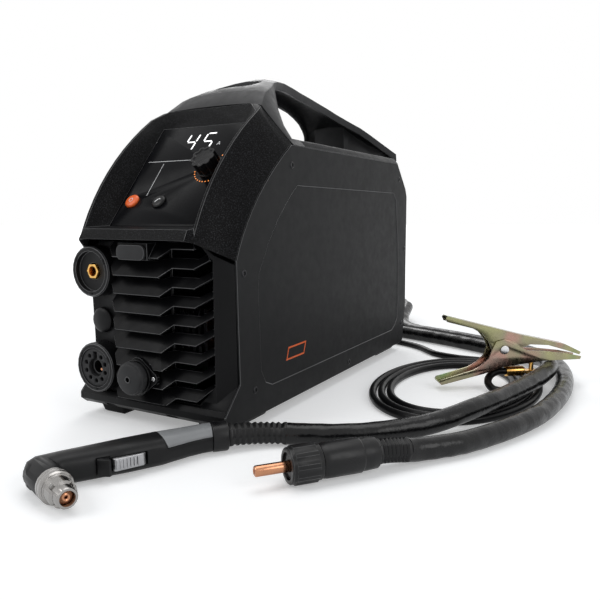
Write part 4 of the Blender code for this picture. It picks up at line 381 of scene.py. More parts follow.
@dataclass(frozen=True)
class ZincFinish(Finish):
    """Yellow passivated zinc: straw yellow with faint pink and green clouds."""

    slot: str = "yellow_zinc"

    def build(self) -> bpy.types.Material:
        """Make the node material.

        Returns:
            The material.
        """
        graph = Graph(self.name)
        cloud = graph.noise(38.0, 2.0, roughness=0.45)
        colour = graph.ramp(cloud, ((0.30, (0.19, 0.26, 0.13)), (0.42, (0.31, 0.30, 0.16)),
                                    (0.52, self.colour), (0.62, (0.36, 0.22, 0.18)),
                                    (0.74, (0.26, 0.25, 0.21))))
        rough = self.worn(graph, graph.noise(3.0, 5.0))
        normal = graph.relief(graph.noise(self.grain_mm, 3.0), self.relief_mm)
        return graph.finish(colour, rough, normal, Metallic=1.0)


@dataclass(frozen=True)
class SleeveFinish(Finish):
    """A thin glossy sleeve with crosswise wrinkles that follow the cord's own length."""

    wrinkle_mm: float = 0.5
    per_metre: float = 90.0
    bulge_mm: float = 26.0
    slot: str = "rubber"

    def build(self) -> bpy.types.Material:
        """Make the node material, which reads the cord's UV map: U round it, V along it in metres.

        Returns:
            The material.
        """
        graph = Graph(self.name)
        along = graph.node("ShaderNodeTexCoord").outputs["UV"]
        laid = graph.node("ShaderNodeMapping", None, Vector=along)
        laid.inputs["Scale"].default_value = (0.05, 1.0, 1.0)
        folds = graph.noise(1000.0 / self.per_metre, 4.0, laid.outputs["Vector"], 0.65)
        creases = graph.node("ShaderNodeTexNoise", None, Vector=laid.outputs["Vector"],
                             Scale=self.per_metre * 2.6, Detail=2.0, Distortion=0.6)
        bulge = graph.noise(self.bulge_mm, 1.0, laid.outputs["Vector"])
        colour = graph.ramp(graph.noise(30.0), ((0.3, self.tinted(0.8)), (0.7, self.tinted(1.25))))
        rough = self.worn(graph, folds)
        normal = graph.relief(folds, self.wrinkle_mm, graph.relief(bulge, self.wrinkle_mm * 5.0))
        normal = graph.relief(creases.outputs["Fac"], self.wrinkle_mm * 0.35, normal)
        normal = graph.relief(graph.noise(self.grain_mm), self.relief_mm, normal)
        return graph.finish(colour, rough, normal, Specular_IOR_Level=self.specular)


@dataclass(frozen=True)
class GlowFinish(Finish):
    """A lit mark: its own light, with a little unevenness."""

    strength: float = 1.0
    slot: str = "orange_plastic"

    def build(self) -> bpy.types.Material:
        """Make the node material.

        Returns:
            The material.
        """
        graph = Graph(self.name)
        colour = graph.ramp(graph.noise(4.0), ((0.3, self.tinted(0.93)), (0.7, self.colour)))
        return graph.finish(colour, self.roughness, None, Emission_Color=(*self.colour, 1.0),
                            Emission_Strength=self.strength)


class Paint(Enum):
    """Every finish of the unit."""

    PANEL = Finish("panel_powder_coat", (0.0165, 0.0166, 0.0172), 0.52, 0.45, 0.018, 0.06, 0.05,
                   slot="panel_paint", specular=0.09)
    # The visor and the cover are spark plastics with painted glints on their grain's tips.
    VISOR = SparkFinish("visor_spark_plastic", (0.0022, 0.0022, 0.0024), 0.42, 0.85, 0.05, 0.1,
                        0.07, specular=0.05, sparkle=20.0)
    COVER = SparkFinish("cover_plastic", (0.009, 0.009, 0.0095), 0.5, 0.7, 0.04, 0.1, 0.07,
                        specular=0.12)
    FRAME = Finish("frame_plastic", (0.006, 0.006, 0.0065), 0.45, 0.7, 0.02, 0.12, 0.07,
                   specular=0.1)
    HANDLE = Finish("handle_plastic", (0.024, 0.024, 0.025), 0.46, 0.6, 0.03, 0.12, 0.08,
                    specular=0.2)
    GRILLE = Finish("louvre_plastic", (0.0045, 0.0045, 0.005), 0.36, 0.7, 0.02, 0.12, 0.08,
                    slot="grille_plastic", specular=0.08)
    FASCIA = Finish("fascia_lens", (0.005, 0.0051, 0.006), 0.22, 6.0, 0.004, 0.1, 0.04,
                    slot="fascia_gloss", specular=0.05)
    KNOB = Finish("knob_plastic", (0.006, 0.006, 0.0065), 0.3, 0.8, 0.01, 0.1, 0.05,
                  slot="fascia_gloss", specular=0.2)
    SOCKET = Finish("socket_plastic", (0.007, 0.007, 0.0075), 0.38, 0.8, 0.02, 0.12, 0.06,
                    slot="rubber", specular=0.15)
    RUBBER = Finish("moulded_rubber", (0.0045, 0.0045, 0.005), 0.36, 0.9, 0.03, 0.2, 0.1,
                    slot="rubber", specular=0.28)
    FOOT = Finish("foot_rubber", (0.009, 0.009, 0.0095), 0.6, 0.8, 0.03, 0.2, 0.08, 0.03,
                  slot="rubber", specular=0.12)
    # A lighter grey for the roundings and a few small parts: painted highlights where edges catch
    # the light.
    RUB = Finish("painted_highlight", (0.075, 0.075, 0.077), 0.34, 0.8, 0.006, 0.2, 0.06,
                 specular=0.4)
    PORT = Finish("port_cover_plastic", (0.034, 0.034, 0.035), 0.5, 0.8, 0.012, 0.15, 0.06,
                  slot="rubber", specular=0.15)
    SLEEVE = SleeveFinish("hose_sleeve", (0.003, 0.003, 0.0034), 0.24, 0.4, 0.01, spread=0.08,
                          specular=0.3)
    LEAD = SleeveFinish("lead_jacket", (0.005, 0.005, 0.0055), 0.34, 0.5, 0.01, spread=0.06,
                        wrinkle_mm=0.12, per_metre=160.0, specular=0.14)
    TORCH = Finish("torch_plastic", (0.008, 0.008, 0.0085), 0.4, 0.7, 0.025, 0.15, 0.07,
                   specular=0.2)
    INSERT = Finish("grip_insert_grey", (0.24, 0.245, 0.25), 0.42, 0.5, 0.01, 0.06, 0.06,
                    slot="grey_plastic")
    ORANGE = Finish("signal_orange", (0.85, 0.13, 0.015), 0.35, 0.8, 0.01, 0.06, 0.05,
                    slot="orange_plastic")
    BOARD = Finish("board_laminate", (0.02, 0.10, 0.05), 0.45, 1.0, 0.02, 0.3, 0.1,
                   slot="board_green")
    PRINT = Finish("white_print", (0.78, 0.78, 0.78), 0.5, 0.5, 0.004, 0.04, 0.05,
                   slot="grey_plastic")
    SCREW = MetalFinish("black_screw", (0.028, 0.028, 0.03), 0.34, 0.5, 0.01, 0.2, 0.1,
                        stain=(0.05, 0.05, 0.05))
    STEEL = MetalFinish("bright_steel", (0.66, 0.66, 0.67), 0.26, 0.5, 0.006, 0.10, 0.08,
                        stain=(0.45, 0.43, 0.40))
    CUP = MetalFinish("turned_cup", (0.31, 0.30, 0.29), 0.22, 0.4, 0.008, 0.08, 0.08,
                      stain=(0.22, 0.21, 0.20))
    ALUMINIUM = MetalFinish("cast_aluminium", (0.36, 0.36, 0.37), 0.36, 0.8, 0.01, 0.1, 0.08,
                            stain=(0.4, 0.4, 0.4), slot="aluminium")
    BRASS = MetalFinish("machined_brass", (0.72, 0.42, 0.12), 0.24, 0.4, 0.006, 0.10, 0.08,
                        stain=(0.55, 0.33, 0.12), slot="brass")
    COPPER = MetalFinish("drawn_copper", (0.48, 0.23, 0.13), 0.24, 0.4, 0.006, 0.10, 0.08,
                         stain=(0.45, 0.20, 0.12), slot="copper")
    ZINC = ZincFinish("passivated_zinc", (0.27, 0.245, 0.165), 0.24, 0.8, 0.015, 0.1, 0.07)
    DIGIT = GlowFinish("display_white", (1.0, 1.0, 1.0), 0.4, strength=0.9, slot="grey_plastic")
    LAMP = GlowFinish("scale_lamp", (1.0, 0.30, 0.05), 0.4, strength=0.8)

    def material(self) -> bpy.types.Material:
        """The finish's material, made once."""
        return bpy.data.materials.get(self.value.name) or self.value.build()


# ----------------------------------------------------------------------------
# Modelling bench
# ----------------------------------------------------------------------------

def mm(*values: float) -> Vector:
    """Millimetres to a vector in metres."""
    return Vector([value * MM for value in values])


def frame_of(x_axis: Point, y_axis: Point, z_axis: Point, origin: Point) -> Matrix:
    """A placing matrix from its three axes and its origin."""
    turn = Matrix((x_axis, y_axis, z_axis)).transposed().to_4x4()
    return Matrix.Translation(origin) @ turn


class Bench:
    """Operator modelling: every call works on one active object."""

    WELD = 0.01 * MM            # corners nearer than this are made one
    FLAT_DEGREES = 0.6          # faces that turn by less than this are made one

    def __init__(self, packed: dict) -> None:
        """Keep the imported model.
        """
        self.packed = packed

    @staticmethod
    def clear() -> None:
        """Deselect everything, in object mode."""
        if bpy.context.object and bpy.context.object.mode != "OBJECT":
            bpy.ops.object.mode_set(mode="OBJECT")
        bpy.ops.object.select_all(action="DESELECT")

    @classmethod
    def only(cls, piece: bpy.types.Object) -> bpy.types.Object:
        """Make one object the only selected and active one."""
        cls.clear()
        piece.select_set(True)
        bpy.context.view_layer.objects.active = piece
        return piece

    @classmethod
    def start(cls, name: str, shape: str, **sizes: object) -> bpy.types.Object:
        """Add a primitive.

        Args:
            name: the piece's name.
            shape: the primitive, as in primitive_cylinder_add.
            sizes: the operator's own arguments.

        Returns:
            The new active object.
        """
        cls.clear()
        getattr(bpy.ops.mesh, "primitive_%s_add" % shape)(**sizes)
        piece = bpy.context.object
        piece.name = name
        piece.data.name = name
        return piece

    @classmethod
    def pick(cls, piece: bpy.types.Object, test: Callable[[bmesh.types.BMFace], bool]) -> None:
        """Enter edit mode and select faces by a test.

        Args:
            piece: the object.
            test: says whether a face is taken.
        """
        cls.only(piece)
        bpy.ops.object.mode_set(mode="EDIT")
        bpy.ops.mesh.select_mode(type="FACE")
        bpy.ops.mesh.select_all(action="DESELECT")
        mesh = bmesh.from_edit_mesh(piece.data)
        for face in mesh.faces:
            if test(face):
                face.select_set(True)
        bmesh.update_edit_mesh(piece.data)

    @classmethod
    def enter(cls, piece: bpy.types.Object) -> None:
        """Enter edit mode with everything selected."""
        cls.only(piece)
        bpy.ops.object.mode_set(mode="EDIT")
        bpy.ops.mesh.select_all(action="SELECT")

    @classmethod
    def work_top(cls, piece: bpy.types.Object, *steps: tuple[str, float]) -> None:
        """Work the faces that look along +Z, step by step, and leave edit mode.

        Args:
            piece: the object.
            steps: what is done and by how many millimetres: "inset", "shift" along Z, or
                "extrude" along Z.
        """
        cls.pick(piece, lambda face: face.normal.z > TOP_SHARE)
        for act, size in steps:
            along = (0, 0, size * MM)
            if act == "inset":
                bpy.ops.mesh.inset(thickness=size * MM)
            elif act == "shift":
                bpy.ops.transform.translate(value=along)
            else:
                bpy.ops.mesh.extrude_region_move(TRANSFORM_OT_translate={"value": along})
        cls.leave()

    @staticmethod
    def leave() -> None:
        """Go back to object mode."""
        bpy.ops.object.mode_set(mode="OBJECT")

    @classmethod
    def modify(cls, piece: bpy.types.Object, kind: str, **settings: object) -> None:
        """Add a modifier and apply it.

        Args:
            piece: the object.
            kind: the modifier's type.
            settings: its properties.
        """
        cls.only(piece)
        made = piece.modifiers.new(kind.lower(), kind)
        for key, value in settings.items():
            setattr(made, key, value)
        bpy.ops.object.modifier_apply(modifier=made.name)

    @classmethod
    def soften(cls, piece: bpy.types.Object, width_mm: float, segments: int = 2,
               angle: float = 32.0, slot: int = -1, clamped: bool = True) -> None:
        """Round the sharp edges and smooth the faces between them.

        Args:
            piece: the object.
            width_mm: the bevel's width.
            segments: the bevel's segments.
            angle: edges sharper than this many degrees are rounded.
            slot: material slot of the roundings, or -1 for that of the faces beside them.
            clamped: whether the width is held back by the shortest edge.
        """
        cls.modify(piece, "BEVEL", width=width_mm * MM, segments=segments, limit_method="ANGLE",
                   angle_limit=math.radians(angle), harden_normals=False, material=slot,
                   use_clamp_overlap=clamped)
        bpy.ops.object.shade_smooth_by_angle(angle=math.radians(angle))

    @classmethod
    def smooth(cls, piece: bpy.types.Object, angle: float = 35.0) -> None:
        """Shade smooth but for edges sharper than an angle in degrees."""
        cls.only(piece)
        bpy.ops.object.shade_smooth_by_angle(angle=math.radians(angle))

    @classmethod
    def place(cls, piece: bpy.types.Object, frame: Matrix | None = None) -> bpy.types.Object:
        """Put a piece's place into its mesh.

        Args:
            piece: the object.
            frame: where its own axes go, or None where it is in place.

        Returns:
            The same object, at the origin.
        """
        cls.only(piece)
        if frame is not None:
            piece.matrix_world = frame @ piece.matrix_world
        bpy.ops.object.transform_apply(location=True, rotation=True, scale=True)
        return piece

    @classmethod
    def copy(cls, piece: bpy.types.Object, name: str, frame: Matrix) -> bpy.types.Object:
        """Copy a finished piece with its own mesh.

        Args:
            piece: the piece that is copied.
            name: the copy's name.
            frame: the move from the piece to its copy.

        Returns:
            The copy, at the origin.
        """
        cls.only(piece)
        bpy.ops.object.duplicate(linked=False)
        made = bpy.context.object
        made.name = name
        made.data.name = name
        return cls.place(made, frame)

    @classmethod
    def merge(cls, name: str, pieces: Sequence[bpy.types.Object]) -> bpy.types.Object:
        """Join pieces into one object.

        Args:
            name: the joined object's name.
            pieces: the objects that are used up.

        Returns:
            The joined object.
        """
        cls.clear()
        for piece in pieces:
            piece.select_set(True)
        bpy.context.view_layer.objects.active = pieces[0]
        bpy.ops.object.join()
        pieces[0].name = name
        pieces[0].data.name = name
        return pieces[0]

    @staticmethod
    def dress(piece: bpy.types.Object, paint: Paint, body: Body = Body.UNIT,
              stands_for: Iterable[str] = (), edge: Paint | None = None) -> bpy.types.Object:
        """Give a finished piece its finish, its body and the nodes that it stands for.

        Args:
            piece: the object.
            paint: its finish.
            body: the body it rides on.
            stands_for: CAD nodes that it replaces.
            edge: finish of its roundings, a lighter grey that paints a highlight on them, whose
                faces have material index 1.

        Returns:
            The same object.
        """
        polygons = getattr(piece.data, "polygons", ())
        indices = [polygon.material_index if edge else 0 for polygon in polygons]
        piece.data.materials.clear()
        for finish in (paint, edge) if edge else (paint,):
            piece.data.materials.append(finish.material())
        for polygon, index in zip(polygons, indices):
            polygon.material_index = index
        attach(piece, body.value)
        for node in stands_for:
            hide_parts(node)
        LOG.info("%s rides on %s", piece.name, body.value)
        return piece

    def refined(self, node: str, paint: Paint, body: Body = Body.UNIT, bevel_mm: float = 0.5,
                angle: float = 32.0, segments: int = 2, edge: Paint | None = None,
                clamped: bool = True) -> bpy.types.Object:
        """A CAD node with rounded edges, which replaces it.

        Args:
            node: the node's name.
            paint: its finish.
            body: the body it rides on.
            bevel_mm: width of the rounding, or 0 for none.
            angle: edges sharper than this many degrees are rounded.
            segments: segments of the rounding.
            edge: the roundings' own finish, a lighter grey that paints a highlight on them.
            clamped: whether the shortest edge holds back the rounding's width.

        Returns:
            The dressed piece.
        """
        source = self.packed["nodes"][node]
        piece = bpy.data.objects.new(node + "_dressed", source.data.copy())
        bpy.context.scene.collection.objects.link(piece)
        piece.data.materials.clear()
        for finish in (paint, edge or paint):
            piece.data.materials.append(finish.material())
        self.enter(piece)
        bpy.ops.mesh.remove_doubles(threshold=self.WELD)
        bpy.ops.mesh.dissolve_limited(angle_limit=math.radians(self.FLAT_DEGREES))
        self.leave()
        if bevel_mm:
            self.soften(piece, bevel_mm, segments, angle, 1, clamped)
        else:
            self.smooth(piece, angle)
        return self.dress(piece, paint, body, (node,), edge)

    def carried(self, node: str, paint: Paint) -> None:
        """Give a CAD node that stays its finish.

        Args:
            node: the node's name.
            paint: its finish.
        """
        source = self.packed["nodes"][node]
        for slot in source.material_slots:
            slot.material = paint.material()
        LOG.info("%s is carried over", node)


# ----------------------------------------------------------------------------
# Studio
# ----------------------------------------------------------------------------

@dataclass
class Studio:
    """Camera, lamps and floor."""

    lens_mm: float = 37.456
    sensor_mm: float = 36.0
    nearest: float = 0.01
    place: Point = (0.38059, -0.60341, 0.19003)
    right: Point = (0.87193, 0.48961, -0.00479)
    up: Point = (-0.06423, 0.12406, 0.99019)
    back: Point = (0.48540, -0.86307, 0.13962)
    sky: Point = (0.9, 0.95, 1.0, 1.0)
    sky_strength: float = 0.35
    white: Point = (1.0, 1.0, 1.0, 1.0)
    floor_size: float = 16.0
    floor_colour: Point = (0.86, 0.86, 0.86, 1.0)
    floor_roughness: float = 0.9
    floor_specular: float = 0.1
    floor_lift: tuple[tuple[str, float], ...] = (
        ("From Min", 0.8), ("From Max", 2.4), ("To Min", 0.32), ("To Max", 1.0))
    lamps: tuple[tuple[str, Point, Point, float, float], ...] = (
        ("key", (-1.1, -1.5, 1.7), (0.0, 0.0, 0.15), 1.3, 15.0),
        ("side", (1.9, -0.5, 1.1), (0.05, 0.0, 0.15), 1.2, 9.0),
        ("top", (0.0, 0.2, 2.0), (0.0, 0.0, 0.2), 1.6, 12.0),
        ("rim", (-0.9, 1.5, 1.2), (0.0, 0.0, 0.25), 1.0, 9.0))

    def build_camera(self) -> None:
        """Place the camera where the photograph was taken from."""
        data = bpy.data.cameras.new("camera")
        data.lens = self.lens_mm
        data.sensor_width = self.sensor_mm
        data.clip_start = self.nearest
        camera = bpy.data.objects.new("camera", data)
        bpy.context.scene.collection.objects.link(camera)
        camera.matrix_world = frame_of(self.right, self.up, self.back, self.place)
        bpy.context.scene.camera = camera

    @staticmethod
    def plain_sight(tree: bpy.types.NodeTree, seen: bpy.types.Node) -> bpy.types.NodeSocket:
        """One where a ray comes from the camera, a gloss or a glass.

        Args:
            tree: the node tree.
            seen: its Light Path node.

        Returns:
            The factor.
        """
        factor = seen.outputs["Is Camera Ray"]
        for ray in ("Is Glossy Ray", "Is Transmission Ray"):
            larger = tree.nodes.new("ShaderNodeMath")
            larger.operation = "MAXIMUM"
            tree.links.new(factor, larger.inputs[0])
            tree.links.new(seen.outputs[ray], larger.inputs[1])
            factor = larger.outputs[0]
        return factor

    def build_lamps(self) -> None:
        """Place the soft lamps and the pale world."""
        for name, place, aim, size, power in self.lamps:
            data = bpy.data.lights.new(name, "AREA")
            data.shape = "DISK"
            data.size = size
            data.energy = power
            lamp = bpy.data.objects.new(name, data)
            bpy.context.scene.collection.objects.link(lamp)
            turn = (Vector(aim) - Vector(place)).to_track_quat("-Z", "Y")
            lamp.matrix_world = Matrix.Translation(place) @ turn.to_matrix().to_4x4()
        world = bpy.data.worlds.new("studio_world")
        bpy.context.scene.world = world
        world.use_nodes = True
        tree = world.node_tree
        tree.nodes.clear()
        seen = tree.nodes.new("ShaderNodeLightPath")
        soft = tree.nodes.new("ShaderNodeBackground")
        soft.inputs["Color"].default_value = self.sky
        soft.inputs["Strength"].default_value = self.sky_strength
        white = tree.nodes.new("ShaderNodeBackground")
        white.inputs["Color"].default_value = self.white
        mix = tree.nodes.new("ShaderNodeMixShader")
        out = tree.nodes.new("ShaderNodeOutputWorld")
        tree.links.new(self.plain_sight(tree, seen), mix.inputs[0])
        tree.links.new(soft.outputs[0], mix.inputs[1])
        tree.links.new(white.outputs[0], mix.inputs[2])
        tree.links.new(mix.outputs[0], out.inputs["Surface"])

    def build_floor(self) -> None:
        """Lay the white floor, which glows more the farther out it is, up to plain white."""
        floor = Bench.start("floor", "plane", size=self.floor_size)
        Bench.place(floor)
        made = bpy.data.materials.new("floor_white")
        made.use_nodes = True
        tree = made.node_tree
        shader = tree.nodes["Principled BSDF"]
        for key, value in (("Base Color", self.floor_colour),
                           ("Roughness", self.floor_roughness),
                           ("Specular IOR Level", self.floor_specular),
                           ("Emission Color", self.white)):
            shader.inputs[key].default_value = value
        seen = tree.nodes.new("ShaderNodeLightPath")
        place = tree.nodes.new("ShaderNodeTexCoord")
        reach = tree.nodes.new("ShaderNodeVectorMath")
        reach.operation = "LENGTH"
        tree.links.new(place.outputs["Object"], reach.inputs[0])
        far = tree.nodes.new("ShaderNodeMapRange")
        tree.links.new(reach.outputs["Value"], far.inputs["Value"])
        for key, value in self.floor_lift:
            far.inputs[key].default_value = value
        lift = tree.nodes.new("ShaderNodeMath")
        lift.operation = "MULTIPLY"
        tree.links.new(self.plain_sight(tree, seen), lift.inputs[0])
        tree.links.new(far.outputs["Result"], lift.inputs[1])
        tree.links.new(lift.outputs[0], shader.inputs["Emission Strength"])
        floor.data.materials.append(made)

    def build(self) -> None:
        """Build the whole studio."""
        bpy.context.scene.view_settings.view_transform = "Standard"
        self.build_camera()
        self.build_lamps()
        self.build_floor()


# ----------------------------------------------------------------------------
# Cords
# ----------------------------------------------------------------------------

class Route:
    """Centre lines of the cords, as the part's own source lays them."""

    RUN_IN = 20 * MM            # how far the curve is led on past an end of given direction
    STEPS = 12                  # points between two of a route's own points
    STRAIGHT = 1.2              # straight run at both ends, in radii
    CLEARANCE = 0.05 * MM       # least gap between a cord and the floor

    @staticmethod
    def smooth_path(points: Sequence[Point], spacing: float, start_dir: Vector | None = None,
                    end_dir: Vector | None = None) -> list[Vector]:
        """Evenly spaced points of a smooth curve through a route's own points.

        Args:
            points: the route in metres.
            spacing: wanted distance between points.
            start_dir: direction of the start, where it is given.
            end_dir: direction of the end, where it is given.

        Returns:
            The points.
        """
        route = [Vector(p) for p in points]
        first = route[0] - (start_dir * Route.RUN_IN if start_dir is not None
                            else route[1] - route[0])
        last = route[-1] + (end_dir * Route.RUN_IN if end_dir is not None
                            else route[-1] - route[-2])
        padded = [first] + route + [last]
        fine = []
        for a, b, c, d in zip(padded, padded[1:], padded[2:], padded[3:]):
            for i in range(Route.STEPS):
                t = i / Route.STEPS
                fine.append(0.5 * (2 * b + (c - a) * t + (2 * a - 5 * b + 4 * c - d) * t * t
                                   + (3 * b - a - 3 * c + d) * t ** 3))
        fine.append(route[-1])
        return Route.evened(fine, spacing)

    @staticmethod
    def evened(fine: Sequence[Vector], spacing: float) -> list[Vector]:
        """Points at even distances along a polyline.

        Args:
            fine: the polyline.
            spacing: wanted distance between points.

        Returns:
            The points, with both ends.
        """
        total = sum((q - p).length for p, q in zip(fine, fine[1:]))
        count = max(2, round(total / spacing))
        target = total / count
        evened = [fine[0]]
        walked = 0.0
        for p, q in zip(fine, fine[1:]):
            step = (q - p).length
            while walked + step >= target * len(evened) and len(evened) < count:
                evened.append(p.lerp(q, (target * len(evened) - walked) / step))
            walked += step
        evened.append(fine[-1])
        return evened

    @staticmethod
    def laid(start: Vector, start_dir: Vector, route: Sequence[Point], end: Vector,
             end_dir: Vector, spacing: float, radius: float) -> list[Vector]:
        """A cord's points: straight at both ends, smooth between, and on the floor.

        Args:
            start: first point.
            start_dir: direction in which it leaves.
            route: points between, in millimetres.
            end: last point.
            end_dir: direction in which it arrives.
            spacing: distance between points.
            radius: the cord's radius.

        Returns:
            The points.
        """
        first = start + start_dir * Route.STRAIGHT * radius
        last = end - end_dir * Route.STRAIGHT * radius
        middle = [mm(*p) for p in route]
        way = Route.smooth_path([first] + middle + [last], spacing, start_dir, end_dir)
        for point in way:
            point.z = max(point.z, radius + Route.CLEARANCE)
        return [start] + way + [end]


class CordTube:
    """A tube along a route, with its own UV map and small folds in its wall."""

    # waves of the folds, in radians per metre of cord
    SLOW, SLOW_DRIFT = 37.0, 9.0
    QUICK, QUICK_DRIFT, QUICK_SWING = 330.0, 23.0, 61.0
    PATCH = 14.0
    FADE_RINGS = 8              # rings over which the folds fade out at both ends
    SMOOTH_DEGREES = 60.0

    def __init__(self, name: str, points: Sequence[Vector], radius: float, spacing: float,
                 sides: int, folds: float) -> None:
        """Build the tube.

        Args:
            name: the piece's name.
            points: the route.
            radius: the tube's radius.
            spacing: distance between its rings.
            sides: sides of a ring.
            folds: depth of the folds as a share of the radius.
        """
        curve = Route.smooth_path(points, spacing)
        self.path = curve
        mesh = bmesh.new()
        uv = mesh.loops.layers.uv.new("cord")
        side = Vector((0, 0, 1))
        rings, lengths = [], []
        walked = 0.0
        for i, point in enumerate(curve):
            ahead = curve[min(i + 1, len(curve) - 1)] - curve[max(i - 1, 0)]
            ahead.normalize()
            side = (side - ahead * side.dot(ahead)).normalized()
            over = ahead.cross(side)
            walked += (point - curve[i - 1]).length if i else 0.0
            lengths.append(walked)
            fade = min(1.0, i / self.FADE_RINGS, (len(curve) - 1 - i) / self.FADE_RINGS)
            ring = []
            for j in range(sides):
                angle = 2 * math.pi * j / sides
                fold = folds * fade * self.fold(walked, angle)
                reach = radius * (1.0 - max(0.0, fold))
                ring.append(mesh.verts.new(point + (side * math.cos(angle)
                                                    + over * math.sin(angle)) * reach))
            rings.append(ring)
        for i in range(len(rings) - 1):
            for j in range(sides):
                k = (j + 1) % sides
                face = mesh.faces.new((rings[i][j], rings[i][k], rings[i + 1][k],
                                       rings[i + 1][j]))
                corners = ((j, i), (j + 1, i), (j + 1, i + 1), (j, i + 1))
                for loop, (u, v) in zip(face.loops, corners):
                    loop[uv].uv = (u / sides, lengths[v])
        mesh.faces.new(rings[0])
        mesh.faces.new(rings[-1])
        bmesh.ops.recalc_face_normals(mesh, faces=mesh.faces)
        data = bpy.data.meshes.new(name)
        mesh.to_mesh(data)
        mesh.free()
        self.piece = bpy.data.objects.new(name, data)
        bpy.context.scene.collection.objects.link(self.piece)
        Bench.smooth(self.piece, self.SMOOTH_DEGREES)

    @classmethod
    def fold(cls, along: float, angle: float) -> float:
        """Depth of the folds at a place, from 0 to 1.

        Args:
            along: distance from the start in metres.
            angle: angle round the cord in radians.

        Returns:
            The depth.
        """
        slow = math.sin(along * cls.SLOW + 1.3 * math.sin(angle + along * cls.SLOW_DRIFT))
        quick = math.sin(along * cls.QUICK + 1.7 * math.sin(angle * 2 + along * cls.QUICK_DRIFT)
                         + 2.2 * math.sin(along * cls.QUICK_SWING))
        patch = 0.5 + 0.5 * math.sin(angle + along * cls.PATCH)
        return (0.5 + 0.5 * slow) * (0.5 + 0.5 * quick) * patch

    def length(self) -> float:
        """Length of the route in metres."""
        return sum((q - p).length for p, q in zip(self.path, self.path[1:]))


@dataclass
class TorchHose:
    """The torch's sleeved hose: strand, coil behind the case, strand to the plug."""

    radius: float = 9 * MM
    coil_at: Vector = field(default_factory=lambda: mm(-80, 400, 0))
    coil_radius: float = 91 * MM
    pitch: float = 18.75 * MM
    turns_in: float = 2.5
    climb_turns: float = 0.5
    turns_out: float = 2.694
    heart_dip: float = 3.4 * MM
    floor_z: float = 9.05 * MM
    loop_points: int = 24
    strand_step: float = 38 * MM
    ring_step: float = 3.2 * MM
    sides: int = 20
    folds: float = 0.05
    torch_end: Vector = field(default_factory=lambda: mm(129.774, -179.478, 9.944))
    torch_dir: Vector = field(default_factory=lambda: Vector((0.913363, 0.406655, -0.019996)))
    plug_end: Vector = field(default_factory=lambda: mm(229.213, -171.517, 11.958))
    plug_dir: Vector = field(default_factory=lambda: Vector((0.596003, 0.790922, -0.138648)))
    torch_strand: tuple[Point, ...] = (
        (154.7, -167.5, 9.05), (187.7, -144.5, 9.05), (226.3, -107.5, 12.0),
        (252.5, -62.0, 17.2), (267.5, -16.0, 17.5), (279.5, 28.0, 18.0), (289.0, 74.0, 19.6),
        (292.5, 104.0, 20.4), (284.5, 138.0, 20.3), (272.0, 168.0, 16.5), (255.0, 193.0, 11.5),
        (232.0, 214.0, 9.1), (190.0, 236.0, 9.05), (136.0, 260.0, 9.05), (64.0, 283.0, 9.05),
        (0.0, 300.0, 9.05))
    plug_strand: tuple[Point, ...] = (
        (252.5, -143.5, 9.6), (274.0, -104.0, 9.05), (293.5, -57.0, 9.05), (305.5, -10.0, 9.05),
        (311.0, 55.0, 9.05), (307.5, 112.0, 9.05), (297.0, 160.0, 9.05), (279.0, 199.0, 9.05),
        (246.0, 232.0, 9.05), (196.0, 259.0, 9.05), (140.0, 283.0, 9.05), (92.0, 301.0, 9.05),
        (58.0, 319.0, 9.2), (40.0, 345.0, 12.0), (30.0, 370.0, 18.5))

    def coil_points(self) -> list[Vector]:
        """Centre line of the coil: in on the floor, a climb at the heart, out on top."""
        turns = self.turns_in + self.climb_turns + self.turns_out
        count = round(turns * self.loop_points)
        heart = self.coil_radius - self.pitch * self.turns_in
        points = []
        for i in range(count + 1):
            turn = turns * i / count
            if turn <= self.turns_in:
                radius = self.coil_radius - self.pitch * turn
                climb = 0.0
            elif turn <= self.turns_in + self.climb_turns:
                climb = (turn - self.turns_in) / self.climb_turns
                radius = heart - self.heart_dip * math.sin(math.pi * climb)
            else:
                radius = heart + self.pitch * (turn - self.turns_in - self.climb_turns)
                climb = 1.0
            angle = -math.pi / 2 - 2 * math.pi * turn
            points.append(self.coil_at + Vector((radius * math.cos(angle),
                                                 radius * math.sin(angle),
                                                 self.floor_z + self.pitch * climb)))
        into = (points[1] - points[0]).normalized()
        out = (points[-1] - points[-2]).normalized()
        ends = 2 * self.radius
        return [points[0] - into * ends] + points + [points[-1] + out * ends]

    def build(self) -> None:
        coil = self.coil_points()
        into = (coil[1] - coil[0]).normalized()
        out = (coil[-1] - coil[-2]).normalized()
        front = Route.laid(self.torch_end, self.torch_dir, self.torch_strand, coil[0], into,
                           self.strand_step, self.radius)
        rear = Route.laid(self.plug_end, self.plug_dir, self.plug_strand, coil[-1], -out,
                          self.strand_step, self.radius)
        points = front[:-1] + coil + list(reversed(rear))[1:]
        tube = CordTube("torch_hose", points, self.radius, self.ring_step, self.sides,
                        self.folds)
        Bench.dress(tube.piece, Paint.SLEEVE, Body.UNIT,
                    ("torch_hose_front", "torch_hose_coil", "torch_hose_rear"))
        self.tube = tube

    def declare(self, fitted: Sequence[bpy.types.Object]) -> None:
        """Measure the hose's length, which is not kept.

        Args:
            fitted: the pieces of the torch and of the plug; not used.
        """
        self.tube.length()


